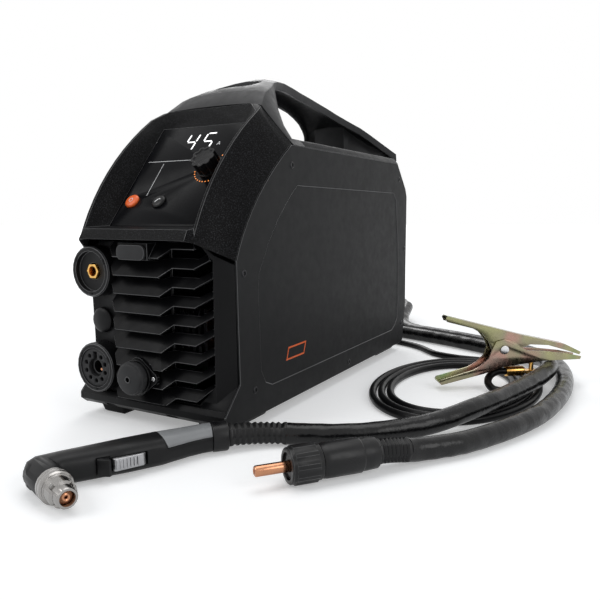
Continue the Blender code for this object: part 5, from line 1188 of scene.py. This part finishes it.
@dataclass
class EarthLead:
    """The earth lead: flat coil beside the case, from the clamp's lug to its own plug."""

    radius: float = 4 * MM
    coil_at: Vector = field(default_factory=lambda: mm(205, 48, 0))
    outer: tuple[float, float] = (86 * MM, 131 * MM)
    inner: tuple[float, float] = (58 * MM, 92 * MM)
    turns: float = 3.25
    leave_at: float = 100.0
    floor_z: float = 4.05 * MM
    loop_points: int = 24
    rise_step: float = 8 * MM
    tail_step: float = 20 * MM
    ring_step: float = 3.0 * MM
    sides: int = 14
    folds: float = 0.015
    lug: Vector = field(default_factory=lambda: mm(250.087, 83.309, 17.2))
    lug_back: Vector = field(default_factory=lambda: Vector((-0.820171, -0.572119, 0.0)))
    rise: tuple[Point, ...] = ((236.5, 70.5, 12.5), (239.0, 56.5, 7.5), (250.0, 48.5, 4.4))
    tail: tuple[Point, ...] = ((141, 186, 4.05), (112, 213, 4.05), (78, 232, 4.05),
                               (40, 240, 5.0), (12, 242, 8.0))
    plug_at: Vector = field(default_factory=lambda: mm(0.3, 243, 9.6))
    plug_dir: Vector = field(default_factory=lambda: Vector((-1, 0, 0)))

    def coil_points(self) -> list[Vector]:
        """Centre line of the flat coil."""
        count = round(self.turns * self.loop_points)
        points = []
        for i in range(count + 1):
            share = i / count
            angle = math.radians(self.leave_at) - 2 * math.pi * self.turns * (1 - share)
            a = self.inner[0] + (self.outer[0] - self.inner[0]) * share
            b = self.inner[1] + (self.outer[1] - self.inner[1]) * share
            points.append(self.coil_at + Vector((a * math.cos(angle), b * math.sin(angle),
                                                 self.floor_z)))
        return points

    def build(self) -> None:
        coil = self.coil_points()
        onward = (coil[1] - coil[0]).normalized()
        rise = [self.lug + self.lug_back * 2 * self.radius] + [mm(*p) for p in self.rise]
        first = [self.lug] + Route.smooth_path(rise + [coil[0]], self.rise_step,
                                               self.lug_back, onward)[:-1]
        out = (coil[-1] - coil[-2]).normalized()
        turned = coil[-1] + out * 2 * self.radius
        tail = Route.laid(turned, out, self.tail, self.plug_at, self.plug_dir, self.tail_step,
                          self.radius)
        points = first + coil + tail
        tube = CordTube("earth_lead", points, self.radius, self.ring_step, self.sides,
                        self.folds)
        Bench.dress(tube.piece, Paint.LEAD, Body.UNIT, ("earth_lead_coil", "earth_lead_tail"))
        self.tube = tube

    def declare(self, fitted: Sequence[bpy.types.Object]) -> None:
        """Measure the lead's length, which is not kept.

        Args:
            fitted: the pieces of the clamp and of the plug; not used.
        """
        self.tube.length()


# ----------------------------------------------------------------------------
# Case
# ----------------------------------------------------------------------------

@dataclass
class CaseShell:
    """Side panels, tray, cover, visor, frame, louvres, handle and feet, with their screws."""

    bench: Bench
    half_width: float = 85 * MM
    screw_radius: float = 3.3 * MM
    screw_height: float = 1.3 * MM
    screw_steps: tuple[tuple[str, float], ...] = (
        ("inset", 0.5), ("shift", 0.45), ("inset", 1.0), ("extrude", -1.0))
    screw_depth: float = 0.5 * MM
    screws: tuple[tuple[float, float], ...] = (
        (-91.7, 233.2), (189.7, 231.8), (213.7, 139.8), (207.1, 37.8), (36.7, 19.0),
        (-158.5, 35.2), (-173.1, 139.3))
    mark_at: tuple[float, float] = (-84.0, 56.0)
    mark_size: tuple[float, float] = (35.0, 12.5)
    mark_depth: float = 0.75 * MM
    mark_line: float = 1.6 * MM
    mark_slant: float = 0.35
    mark_thickness: float = 0.12 * MM

    def screw(self) -> bpy.types.Object:
        """Model one button-head screw with its round recess, facing +X."""
        head = Bench.start("screw", "cylinder", vertices=24, radius=self.screw_radius,
                           depth=self.screw_height, end_fill_type="NGON")
        Bench.work_top(head, *self.screw_steps)
        Bench.soften(head, 0.15)
        return Bench.place(head, Matrix.Rotation(math.radians(90), 4, "Y"))

    def build_screws(self) -> None:
        """Set the screws into both side panels."""
        model = self.screw()
        seat = self.half_width - self.screw_depth
        for side, word in SIDES:
            for index, (y, z) in enumerate(self.screws):
                turn = Matrix.Identity(4) if side > 0 else Matrix.Rotation(math.pi, 4, "Z")
                frame = Matrix.Translation((side * seat, y * MM, z * MM)) @ turn
                name = "panel_screw_%s_%d" % (word, index + 1)
                Bench.dress(Bench.copy(model, name, frame), Paint.SCREW)
        bpy.data.objects.remove(model, do_unlink=True)

    def build_mark(self) -> None:
        """Print the small slanted orange outline at the foot of each side panel."""
        width, height = (v * MM for v in self.mark_size)
        for side, word in SIDES:
            mark = Bench.start("panel_mark_" + word, "plane", size=1.0)
            Bench.enter(mark)
            bpy.ops.transform.resize(value=(width, height, 1.0))
            bpy.ops.mesh.inset(thickness=self.mark_line)
            bpy.ops.mesh.delete(type="FACE")
            Bench.leave()
            for vert in mark.data.vertices:
                vert.co.x += vert.co.y * self.mark_slant
            Bench.modify(mark, "SOLIDIFY", thickness=self.mark_thickness, offset=0.0)
            axes = ((0, side, 0), (0, 0, 1), (side, 0, 0))
            place = (side * (self.half_width - self.mark_depth), self.mark_at[0] * MM,
                     self.mark_at[1] * MM)
            Bench.place(mark, frame_of(*axes, place))
            Bench.dress(mark, Paint.ORANGE)

    def build(self) -> None:
        """Dress the case."""
        bench = self.bench
        # The roundings of the panels, cover, visor, frame, louvres and handle take a lighter grey:
        # painted edge highlights.
        for side in ("left", "right"):
            bench.refined("side_panel_" + side, Paint.PANEL, bevel_mm=0.6, angle=20.0,
                          edge=Paint.RUB)
        bench.refined("base_tray", Paint.PANEL, bevel_mm=0.0)
        for node, paint, width in (("rear_panel", Paint.PANEL, 0.4),
                                   ("top_cover", Paint.COVER, 0.8),
                                   ("front_visor", Paint.VISOR, 0.6),
                                   ("front_frame", Paint.FRAME, 0.5)):
            bench.refined(node, paint, bevel_mm=width, edge=Paint.RUB)
        bench.refined("louvre_grille", Paint.GRILLE, bevel_mm=0.32, angle=14.0, segments=1,
                      edge=Paint.RUB, clamped=False)
        bench.refined("carry_handle", Paint.HANDLE, bevel_mm=1.0, angle=28.0, edge=Paint.RUB)
        for corner in ("front_right", "front_left", "rear_right", "rear_left"):
            bench.refined("foot_" + corner, Paint.FOOT, bevel_mm=0.8)
        self.build_screws()
        self.build_mark()


# ----------------------------------------------------------------------------
# Control panel
# ----------------------------------------------------------------------------

@dataclass
class ControlPanel:
    """Fascia with its display, lines and lamps, the knob and the two buttons.

    Places on the fascia are given across (X) and down from its upper edge.
    """

    bench: Bench
    fascia: Matrix = field(default_factory=lambda: frame_of(
        (1, 0, 0), (0, 0.640184, 0.768221), (0, -0.768221, 0.640184),
        (0, -0.1135, 0.2715)))
    digits: str = "45"
    digit_at: tuple[float, float] = (-10.5, 31.0)
    digit_size: tuple[float, float] = (10.5, 20.5)
    digit_step: float = 19.5
    digit_bar: float = 1.6
    digit_slant: float = 0.12
    bar_height: float = 0.1 * MM
    knob_at: tuple[float, float] = (34.3, 55.0)
    knob_radius: float = 12.5
    knob_levels: tuple[float, float, float] = (0.8, 3.0, 14.5)
    knob_steps: tuple[tuple[str, float], ...] = (("inset", 1.6), ("inset", 0.8), ("shift", -0.9))
    knob_inset: float = 0.5
    knob_flutes: int = 9
    flute_depth: float = 1.7
    lamp_radius: float = 0.6 * MM
    lamp_height: float = 0.2 * MM
    lamp_steps: tuple[tuple[str, float], ...] = (("inset", 0.2), ("shift", 0.1))
    lamp_lift: float = 0.05
    lamp_ring: float = 16.2
    lamp_count: int = 31
    lamp_arc: tuple[float, float] = (22.0, 262.0)
    function_at: tuple[float, float] = (-5.0, 93.8)
    mode_at: tuple[float, float] = (-37.5, 92.7)
    unit_at: tuple[float, float] = (29.5, 26.5)
    symbol_radius: float = 2.2
    symbol_lift: float = 2.45

    SEGMENTS = {"4": "bcfg", "5": "acdfg"}
    SEGMENT_ENDS = {"a": ((0, 1), (1, 1)), "b": ((1, 1), (1, 0.5)), "c": ((1, 0.5), (1, 0)),
                    "d": ((0, 0), (1, 0)), "f": ((0, 1), (0, 0.5)), "g": ((0, 0.5), (1, 0.5))}
    SEGMENT_GAPS = {"d": 0.25}
    SEGMENT_GAP = 0.06
    LINES = ((-44.7, 44.0, 8.2, 44.0, 0.5), (-24.0, 47.0, -24.0, 86.0, 0.45))
    FUNCTION_STROKES = ((-2.6, 2.0, 0.4, -1.6, 1.0), (0.4, -1.6, 2.8, -1.6, 1.0))
    UNIT_STROKES = ((-1.7, 0.0, 0.0, -4.4, 0.6), (1.7, 0.0, 0.0, -4.4, 0.6),
                    (-1.1, -1.4, 1.1, -1.4, 0.5))

    def at(self, x: float, down: float, lift: float = 0.0) -> Matrix:
        """A place on the fascia, in millimetres, as a frame."""
        return self.fascia @ Matrix.Translation(mm(x, -down, lift))

    def bar(self, name: str, low: tuple[float, float], high: tuple[float, float],
            thickness: float) -> bpy.types.Object:
        """Model a flat bar with pointed ends between two places of the fascia.

        Args:
            name: the piece's name.
            low: start, across and down in millimetres.
            high: end, across and down in millimetres.
            thickness: the bar's width in millimetres.

        Returns:
            The bar in place, 0.1 mm proud.
        """
        run = Vector((high[0] - low[0], low[1] - high[1], 0.0))
        piece = Bench.start(name, "plane", size=1.0)
        Bench.enter(piece)
        bpy.ops.transform.resize(value=((run.length - thickness) * MM, thickness * MM, 1.0))
        bpy.ops.mesh.subdivide(number_cuts=1)
        Bench.leave()
        for vert in piece.data.vertices:
            if abs(vert.co.y) < Bench.WELD < abs(vert.co.x):
                vert.co.x += math.copysign(thickness * 0.5 * MM, vert.co.x)
        Bench.modify(piece, "SOLIDIFY", thickness=self.bar_height, offset=1.0)
        turn = Matrix.Rotation(math.atan2(run.y, run.x), 4, "Z")
        middle = ((low[0] + high[0]) / 2, (low[1] + high[1]) / 2)
        return Bench.place(piece, self.at(*middle) @ turn)

    def strokes(self, name: str, at: tuple[float, float],
                lines: Sequence[Point]) -> bpy.types.Object:
        """Model bars as one piece.

        Args:
            name: the piece's name.
            at: the place on the fascia that the bars are measured from.
            lines: for each bar its start, its end and its width.

        Returns:
            The piece in place.
        """
        x, down = at
        bars = [self.bar("stroke", (x + x0, down + down0), (x + x1, down + down1), width)
                for x0, down0, x1, down1, width in lines]
        return Bench.merge(name, bars)

    def build_digits(self) -> None:
        """Build the lit digits from slanted segments."""
        width, height = self.digit_size
        bars = []
        for index, digit in enumerate(self.digits):
            x0 = self.digit_at[0] + index * self.digit_step
            foot = self.digit_at[1]

            def corner(u: float, v: float) -> tuple[float, float]:
                """A place in the digit, with its slant."""
                return (x0 + u * width + v * height * self.digit_slant, foot - v * height)

            for key in self.SEGMENTS[digit]:
                (u0, v0), (u1, v1) = self.SEGMENT_ENDS[key]
                inner = self.SEGMENT_GAPS.get(key, self.SEGMENT_GAP)
                start = corner(u0 + (u1 - u0) * inner, v0 + (v1 - v0) * inner)
                stop = corner(u1 - (u1 - u0) * inner, v1 - (v1 - v0) * inner)
                bars.append(self.bar("segment", start, stop, self.digit_bar))
        Bench.dress(Bench.merge("display_digits", bars), Paint.DIGIT)

    def build_lines(self) -> None:
        """Print the fine white lines under the display and between the buttons."""
        Bench.dress(self.strokes("fascia_lines", (0.0, 0.0), self.LINES), Paint.PRINT)

    def build_scale(self) -> None:
        """Set the ring of small lit lamps round the knob."""
        x, down = self.knob_at
        lamps = []
        for index in range(self.lamp_count):
            degrees = 360 * index / self.lamp_count
            if not self.lamp_arc[0] < degrees < self.lamp_arc[1]:
                continue
            u, v = math.sin(math.radians(degrees)), math.cos(math.radians(degrees))
            dot = Bench.start("dot", "cylinder", vertices=12, radius=self.lamp_radius,
                              depth=self.lamp_height)
            Bench.work_top(dot, *self.lamp_steps)
            Bench.smooth(dot)
            Bench.place(dot, self.at(x + u * self.lamp_ring, down - v * self.lamp_ring,
                                     self.lamp_lift))
            lamps.append(dot)
        Bench.dress(Bench.merge("scale_lamps", lamps), Paint.LAMP)

    def ring(self, name: str, x: float, down: float, radius: float, lift: float,
             width: float = 0.5) -> bpy.types.Object:
        """Model a thin flat ring on the fascia.

        Args:
            name: the piece's name.
            x: place across, in millimetres.
            down: place down from the fascia's upper edge.
            radius: its outer radius.
            lift: height above the fascia.
            width: the ring's width.

        Returns:
            The ring in place.
        """
        piece = Bench.start(name, "circle", vertices=32, radius=radius * MM, fill_type="NGON")
        Bench.pick(piece, lambda face: True)
        bpy.ops.mesh.inset(thickness=width * MM)
        bpy.ops.mesh.delete(type="FACE")
        Bench.leave()
        Bench.modify(piece, "SOLIDIFY", thickness=self.bar_height, offset=1.0)
        return Bench.place(piece, self.at(x, down, lift))

    def build_symbols(self) -> None:
        """Print a plain stroke and a ring on the buttons, and the unit's letter."""
        piece = self.strokes("function_symbol", self.function_at, self.FUNCTION_STROKES)
        lift = self.fascia.to_3x3() @ mm(0, 0, self.symbol_lift)
        Bench.place(piece, Matrix.Translation(lift))
        Bench.dress(piece, Paint.PRINT, Body.FUNCTION)
        circle = self.ring("mode_symbol", *self.mode_at, self.symbol_radius, self.symbol_lift)
        Bench.dress(circle, Paint.PRINT, Body.MODE)
        Bench.dress(self.strokes("unit_letter", self.unit_at, self.UNIT_STROKES), Paint.PRINT)

    def build_knob(self) -> None:
        """Turn the knob: a fluted body over a thin skirt, with a dished top."""
        bottom, skirt, top = self.knob_levels
        plate = Bench.start("skirt", "cylinder", vertices=96, radius=self.knob_radius * MM,
                            depth=(skirt - bottom) * MM)
        Bench.soften(plate, 0.3)
        Bench.place(plate, Matrix.Translation(mm(0, 0, (bottom + skirt) / 2)))
        body = Bench.start("flutes", "cylinder", vertices=160, radius=1.0,
                           depth=(top - skirt) * MM)
        for vert in body.data.vertices:
            turn = math.atan2(vert.co.y, vert.co.x)
            wave = 0.5 + 0.5 * math.cos(self.knob_flutes * turn)
            reach = self.knob_radius - self.knob_inset
            radius = (reach - self.flute_depth * (1 - wave) ** 2) * MM
            vert.co.x, vert.co.y = radius * math.cos(turn), radius * math.sin(turn)
        Bench.work_top(body, *self.knob_steps)
        Bench.soften(body, 0.35, angle=40.0)
        Bench.place(body, Matrix.Translation(mm(0, 0, (top + skirt) / 2)))
        knob = Bench.merge("current_knob_fluted", [plate, body])
        Bench.place(knob, self.at(*self.knob_at))
        Bench.dress(knob, Paint.KNOB, Body.KNOB, ("current_knob",))

    def build(self) -> None:
        """Dress the control panel."""
        bench = self.bench
        bench.refined("control_fascia", Paint.FASCIA, bevel_mm=0.3)
        bench.refined("mode_button", Paint.ORANGE, Body.MODE, bevel_mm=0.3)
        bench.refined("function_button", Paint.KNOB, Body.FUNCTION, bevel_mm=0.3)
        bench.refined("control_board", Paint.BOARD, bevel_mm=0.0)
        self.build_digits()
        self.build_lines()
        self.build_scale()
        self.build_symbols()
        self.build_knob()


# ----------------------------------------------------------------------------
# Sockets at the front
# ----------------------------------------------------------------------------

@dataclass
class FrontSockets:
    """Earth and torch sockets, spare hole, remote socket and port cover."""

    bench: Bench
    axis_x: float = -57.6 * MM
    face_y: float = -195.0 * MM
    earth_z: float = 138.0 * MM
    torch_z: float = 49.5 * MM
    remote_z: float = 49.5 * MM
    remote_y: float = -213.5 * MM
    insert_y: float = -208.0 * MM
    insert_radius: float = 17.9 * MM
    insert_depth: float = 3.8 * MM
    hole_ring: float = 12.4
    hole_radius: float = 2.1 * MM
    hole_step: float = 36.0
    hole_count: int = 9
    bore_radius: float = 8.6 * MM
    cut_depth: float = 8.0 * MM
    key_size: tuple[float, float] = (4.6 * MM, 9.0 * MM)
    key_at: float = 10.4
    pin_radius: float = 1.3 * MM
    pin_length: float = 9 * MM
    pin_at: Vector = field(default_factory=lambda: mm(5.4, 6.5, -1.5))
    lug_count: int = 3
    lug_size: tuple[float, float, float] = (2.4 * MM, 5.0 * MM, 2.4 * MM)
    lug_steps: tuple[tuple[str, float], ...] = (("inset", 0.5), ("shift", 0.4))
    lug_turn: float = 0.5
    lug_at: Vector = field(default_factory=lambda: mm(19.6, 0, 13.2))
    screw_radius: float = 1.9 * MM
    screw_height: float = 1.0 * MM
    screw_steps: tuple[tuple[str, float], ...] = (
        ("inset", 0.5), ("shift", 0.3), ("inset", 0.5), ("extrude", -0.7))
    screw_reach: float = 17.8 * MM
    screw_lift: float = 0.4 * MM
    boss_radius: float = 3.0 * MM
    boss_height: float = 0.8 * MM
    boss_steps: tuple[tuple[str, float], ...] = (("inset", 0.8), ("extrude", -0.5))
    boss_lift: float = 0.1 * MM

    @staticmethod
    def front(x: float, y: float, z: float) -> Matrix:
        """A frame whose Z points out of the front."""
        return frame_of((1, 0, 0), (0, 0, 1), (0, -1, 0), (x, y, z))

    def build_lugs(self) -> None:
        """Put the small bayonet lugs round the inner wall of both sockets."""
        for name, height in (("earth", self.earth_z), ("torch", self.torch_z)):
            lugs = []
            for i in range(self.lug_count):
                lug = Bench.start("lug", "cube", size=1.0)
                bpy.ops.transform.resize(value=self.lug_size)
                Bench.place(lug)
                Bench.work_top(lug, *self.lug_steps)
                Bench.soften(lug, 0.3)
                turn = Matrix.Rotation(2 * math.pi * i / self.lug_count + self.lug_turn, 4, "Z")
                seat = Matrix.Translation(self.lug_at)
                Bench.place(lug, self.front(self.axis_x, self.face_y, height) @ turn @ seat)
                lugs.append(lug)
            Bench.dress(Bench.merge(name + "_socket_lugs", lugs), Paint.SOCKET)

    def build_flange_screws(self) -> None:
        """Set the two screws into the remote socket's flange."""
        for side, word in SIDES:
            head = Bench.start("flange_screw_" + word, "cylinder", vertices=20,
                               radius=self.screw_radius, depth=self.screw_height)
            Bench.work_top(head, *self.screw_steps)
            Bench.soften(head, 0.12)
            Bench.place(head, self.front(side * self.screw_reach,
                                         self.remote_y - self.screw_lift, self.remote_z))
            Bench.dress(head, Paint.STEEL)

    def build_insert(self) -> None:
        """Cut the torch socket's insert: its bore, its keyway and its ring of pin holes."""
        piece = Bench.start("torch_socket_face", "cylinder", vertices=72,
                            radius=self.insert_radius, depth=self.insert_depth)
        holes = []
        for index in range(1, self.hole_count + 1):
            angle = math.radians(90 + self.hole_step * index)
            hole = Bench.start("hole", "cylinder", vertices=24, radius=self.hole_radius,
                               depth=self.cut_depth)
            Bench.place(hole, Matrix.Translation(mm(self.hole_ring * math.cos(angle),
                                                    self.hole_ring * math.sin(angle), 0)))
            holes.append(hole)
        bore = Bench.start("bore", "cylinder", vertices=48, radius=self.bore_radius,
                           depth=self.cut_depth)
        Bench.place(bore)
        key = Bench.start("key", "cube", size=1.0)
        bpy.ops.transform.resize(value=(*self.key_size, self.cut_depth))
        Bench.place(key)
        Bench.place(key, Matrix.Translation(mm(0, self.key_at, 0)))
        for cutter in (Bench.merge("holes", holes), bore, key):
            Bench.modify(piece, "BOOLEAN", object=cutter, operation="DIFFERENCE",
                         solver="EXACT")
            bpy.data.objects.remove(cutter, do_unlink=True)
        Bench.soften(piece, 0.25, angle=45.0, segments=1)
        Bench.place(piece, self.front(self.axis_x, self.insert_y + self.insert_depth / 2,
                                      self.torch_z))
        Bench.dress(piece, Paint.PORT, stands_for=("torch_socket_insert",))
        pin = Bench.start("torch_socket_pin", "cylinder", vertices=24, radius=self.pin_radius,
                          depth=self.pin_length)
        Bench.soften(pin, 0.4)
        middle = Vector((self.axis_x, self.insert_y, self.torch_z)) + self.pin_at
        Bench.place(pin, self.front(*middle))
        Bench.dress(pin, Paint.COPPER)

    def build_cap_boss(self) -> None:
        """Put the small boss of the tether in the middle of the remote socket's cap."""
        low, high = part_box("remote_socket_cap")
        middle = ((low[0] + high[0]) / 2, (low[2] + high[2]) / 2)
        boss = Bench.start("remote_cap_boss", "cylinder", vertices=32, radius=self.boss_radius,
                           depth=self.boss_height)
        Bench.work_top(boss, *self.boss_steps)
        Bench.soften(boss, 0.15, slot=0)
        Bench.place(boss, self.front(middle[0], low[1] - self.boss_lift, middle[1]))
        # The whole boss takes the lighter grey of the painted highlights.
        Bench.dress(boss, Paint.RUB, Body.REMOTE_CAP)

    def build(self) -> None:
        """Dress the sockets."""
        bench = self.bench
        # The roundings of the socket shells, the flange and the port cover take a lighter grey:
        # painted edge highlights.
        bench.refined("earth_socket_shell", Paint.SOCKET, bevel_mm=0.5, edge=Paint.RUB)
        bench.refined("earth_socket_contact", Paint.BRASS, bevel_mm=0.4)
        bench.refined("torch_socket_shell", Paint.SOCKET, bevel_mm=0.5, edge=Paint.RUB)
        bench.refined("blank_plug", Paint.SOCKET, bevel_mm=0.4)
        bench.refined("remote_socket_flange", Paint.GRILLE, bevel_mm=0.5, edge=Paint.RUB)
        bench.refined("remote_socket_cap", Paint.PORT, Body.REMOTE_CAP, bevel_mm=0.3)
        bench.refined("cap_tether", Paint.RUBBER, bevel_mm=0.3)
        bench.refined("port_cover", Paint.PORT, Body.PORT_COVER, bevel_mm=0.4, edge=Paint.RUB)
        self.build_lugs()
        self.build_flange_screws()
        self.build_insert()
        self.build_cap_boss()


# ----------------------------------------------------------------------------
# Rear and inside
# ----------------------------------------------------------------------------

@dataclass
class RearFittings:
    """Mains switch, gland, air inlet and fan."""

    bench: Bench

    def build(self) -> None:
        """Dress the rear."""
        for node, paint, body, width in (("mains_switch_frame", Paint.SOCKET, Body.UNIT, 0.4),
                                         ("mains_switch_rocker", Paint.KNOB, Body.ROCKER, 0.3),
                                         ("cable_gland", Paint.SOCKET, Body.UNIT, 0.4),
                                         ("air_inlet_fitting", Paint.BRASS, Body.UNIT, 0.3),
                                         ("fan_frame", Paint.SOCKET, Body.UNIT, 0.4),
                                         ("fan_rotor", Paint.SOCKET, Body.FAN, 0.2)):
            self.bench.refined(node, paint, body, width)


@dataclass
class Innards:
    """Board, heat sink, transformer and capacitors, seen only through openings."""

    bench: Bench

    def build(self) -> None:
        """Dress the inside."""
        for node, paint in (("main_board", Paint.BOARD), ("heat_sink", Paint.ALUMINIUM),
                            ("power_transformer", Paint.COPPER),
                            ("capacitor_bank", Paint.SOCKET)):
            self.bench.carried(node, paint)


# ----------------------------------------------------------------------------
# Torch
# ----------------------------------------------------------------------------

@dataclass
class Torch:
    """The hand torch: grip with its insert, trigger, catch, collar, boot, cup and nozzle."""

    bench: Bench
    grip: Matrix = field(default_factory=lambda: frame_of(
        (0.481754, 0.876307, 0.0), (-0.876307, 0.481754, 0.0), (0, 0, 1),
        (0.0202, -0.3323, 0.01205)))
    rib_count: int = 7
    rib_size: tuple[float, float, float] = (1.1 * MM, 0.6 * MM, 7.0 * MM)
    rib_inset: float = 0.2 * MM
    rib_at: tuple[float, float] = (48.5, -17.75)
    rib_step: float = 2.6

    def build_trigger_ribs(self) -> None:
        """Raise the cross ribs on the trigger's face, as one piece."""
        ribs = []
        for i in range(self.rib_count):
            rib = Bench.start("rib", "cube", size=1.0)
            bpy.ops.transform.resize(value=self.rib_size)
            Bench.place(rib)
            Bench.pick(rib, lambda face: face.normal.y < -TOP_SHARE)
            bpy.ops.mesh.inset(thickness=self.rib_inset)
            bpy.ops.transform.translate(value=(0, -self.rib_inset, 0))
            Bench.leave()
            Bench.soften(rib, 0.12, 1)
            place = mm(self.rib_at[0] + i * self.rib_step, self.rib_at[1], 0)
            ribs.append(Bench.place(rib, self.grip @ Matrix.Translation(place)))
        Bench.dress(Bench.merge("trigger_ribs", ribs), Paint.ALUMINIUM, Body.TRIGGER)

    def build(self) -> list[bpy.types.Object]:
        """Dress the torch.

        Returns:
            The pieces that sit on the hose's end.
        """
        bench = self.bench
        bench.refined("torch_body", Paint.TORCH, bevel_mm=0.6, angle=30.0)
        bench.refined("torch_grip_insert", Paint.INSERT, bevel_mm=0.4)
        bench.refined("torch_trigger", Paint.ALUMINIUM, Body.TRIGGER, bevel_mm=0.4)
        bench.refined("torch_safety_catch", Paint.TORCH, Body.CATCH, bevel_mm=0.3)
        bench.refined("shield_cup", Paint.CUP, bevel_mm=0.2)
        bench.refined("cutting_nozzle", Paint.COPPER, bevel_mm=0.2)
        self.build_trigger_ribs()
        return [bench.refined("torch_collar", Paint.RUBBER, bevel_mm=0.4),
                bench.refined("torch_boot", Paint.RUBBER, bevel_mm=0.5, angle=25.0)]


# ----------------------------------------------------------------------------
# Plug of the hose
# ----------------------------------------------------------------------------

@dataclass
class CablePlug:
    """The hose's plug: copper pin, barrel, fluted nut and ribbed boot."""

    bench: Bench

    def build(self) -> list[bpy.types.Object]:
        """Dress the plug.

        Returns:
            Its pieces.
        """
        bench = self.bench
        # The nut's roundings take a lighter grey: painted edge highlights.
        return [bench.refined("plug_pin", Paint.COPPER, bevel_mm=0.3),
                bench.refined("plug_barrel", Paint.RUBBER, bevel_mm=0.5),
                bench.refined("plug_nut", Paint.RUBBER, Body.NUT, bevel_mm=0.4, edge=Paint.RUB),
                bench.refined("plug_boot", Paint.RUBBER, bevel_mm=0.5, angle=25.0)]


# ----------------------------------------------------------------------------
# Earth clamp and its plug
# ----------------------------------------------------------------------------

@dataclass
class EarthClamp:
    """The earth clamp of folded sheet, its rivet and spring, its lug, and the lead's plug."""

    bench: Bench

    def build(self) -> list[bpy.types.Object]:
        """Dress the clamp.

        Returns:
            Its pieces, and the lead's plug.
        """
        bench = self.bench
        return [bench.refined("clamp_lower_arm", Paint.ZINC, bevel_mm=0.35),
                bench.refined("clamp_upper_arm", Paint.ZINC, Body.JAW, bevel_mm=0.35),
                bench.refined("clamp_rivet", Paint.STEEL, bevel_mm=0.25),
                bench.refined("clamp_spring", Paint.STEEL, bevel_mm=0.0, angle=60.0),
                bench.refined("clamp_lug", Paint.BRASS, bevel_mm=0.25),
                bench.refined("earth_plug", Paint.RUBBER, bevel_mm=0.4)]


# ----------------------------------------------------------------------------
# Whole unit
# ----------------------------------------------------------------------------


def main() -> None:
    """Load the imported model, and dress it."""
    logging.basicConfig(level=logging.INFO, format="%(message)s")
    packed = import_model()
    bench = Bench(packed)
    Studio().build()
    hose, lead = TorchHose(), EarthLead()
    hose.build()
    lead.build()
    for assembly in (CaseShell, ControlPanel, FrontSockets, RearFittings, Innards):
        assembly(bench).build()
    hose.declare(Torch(bench).build() + CablePlug(bench).build())
    lead.declare(EarthClamp(bench).build())
    Bench.clear()


if __name__ == "__main__":
    main()
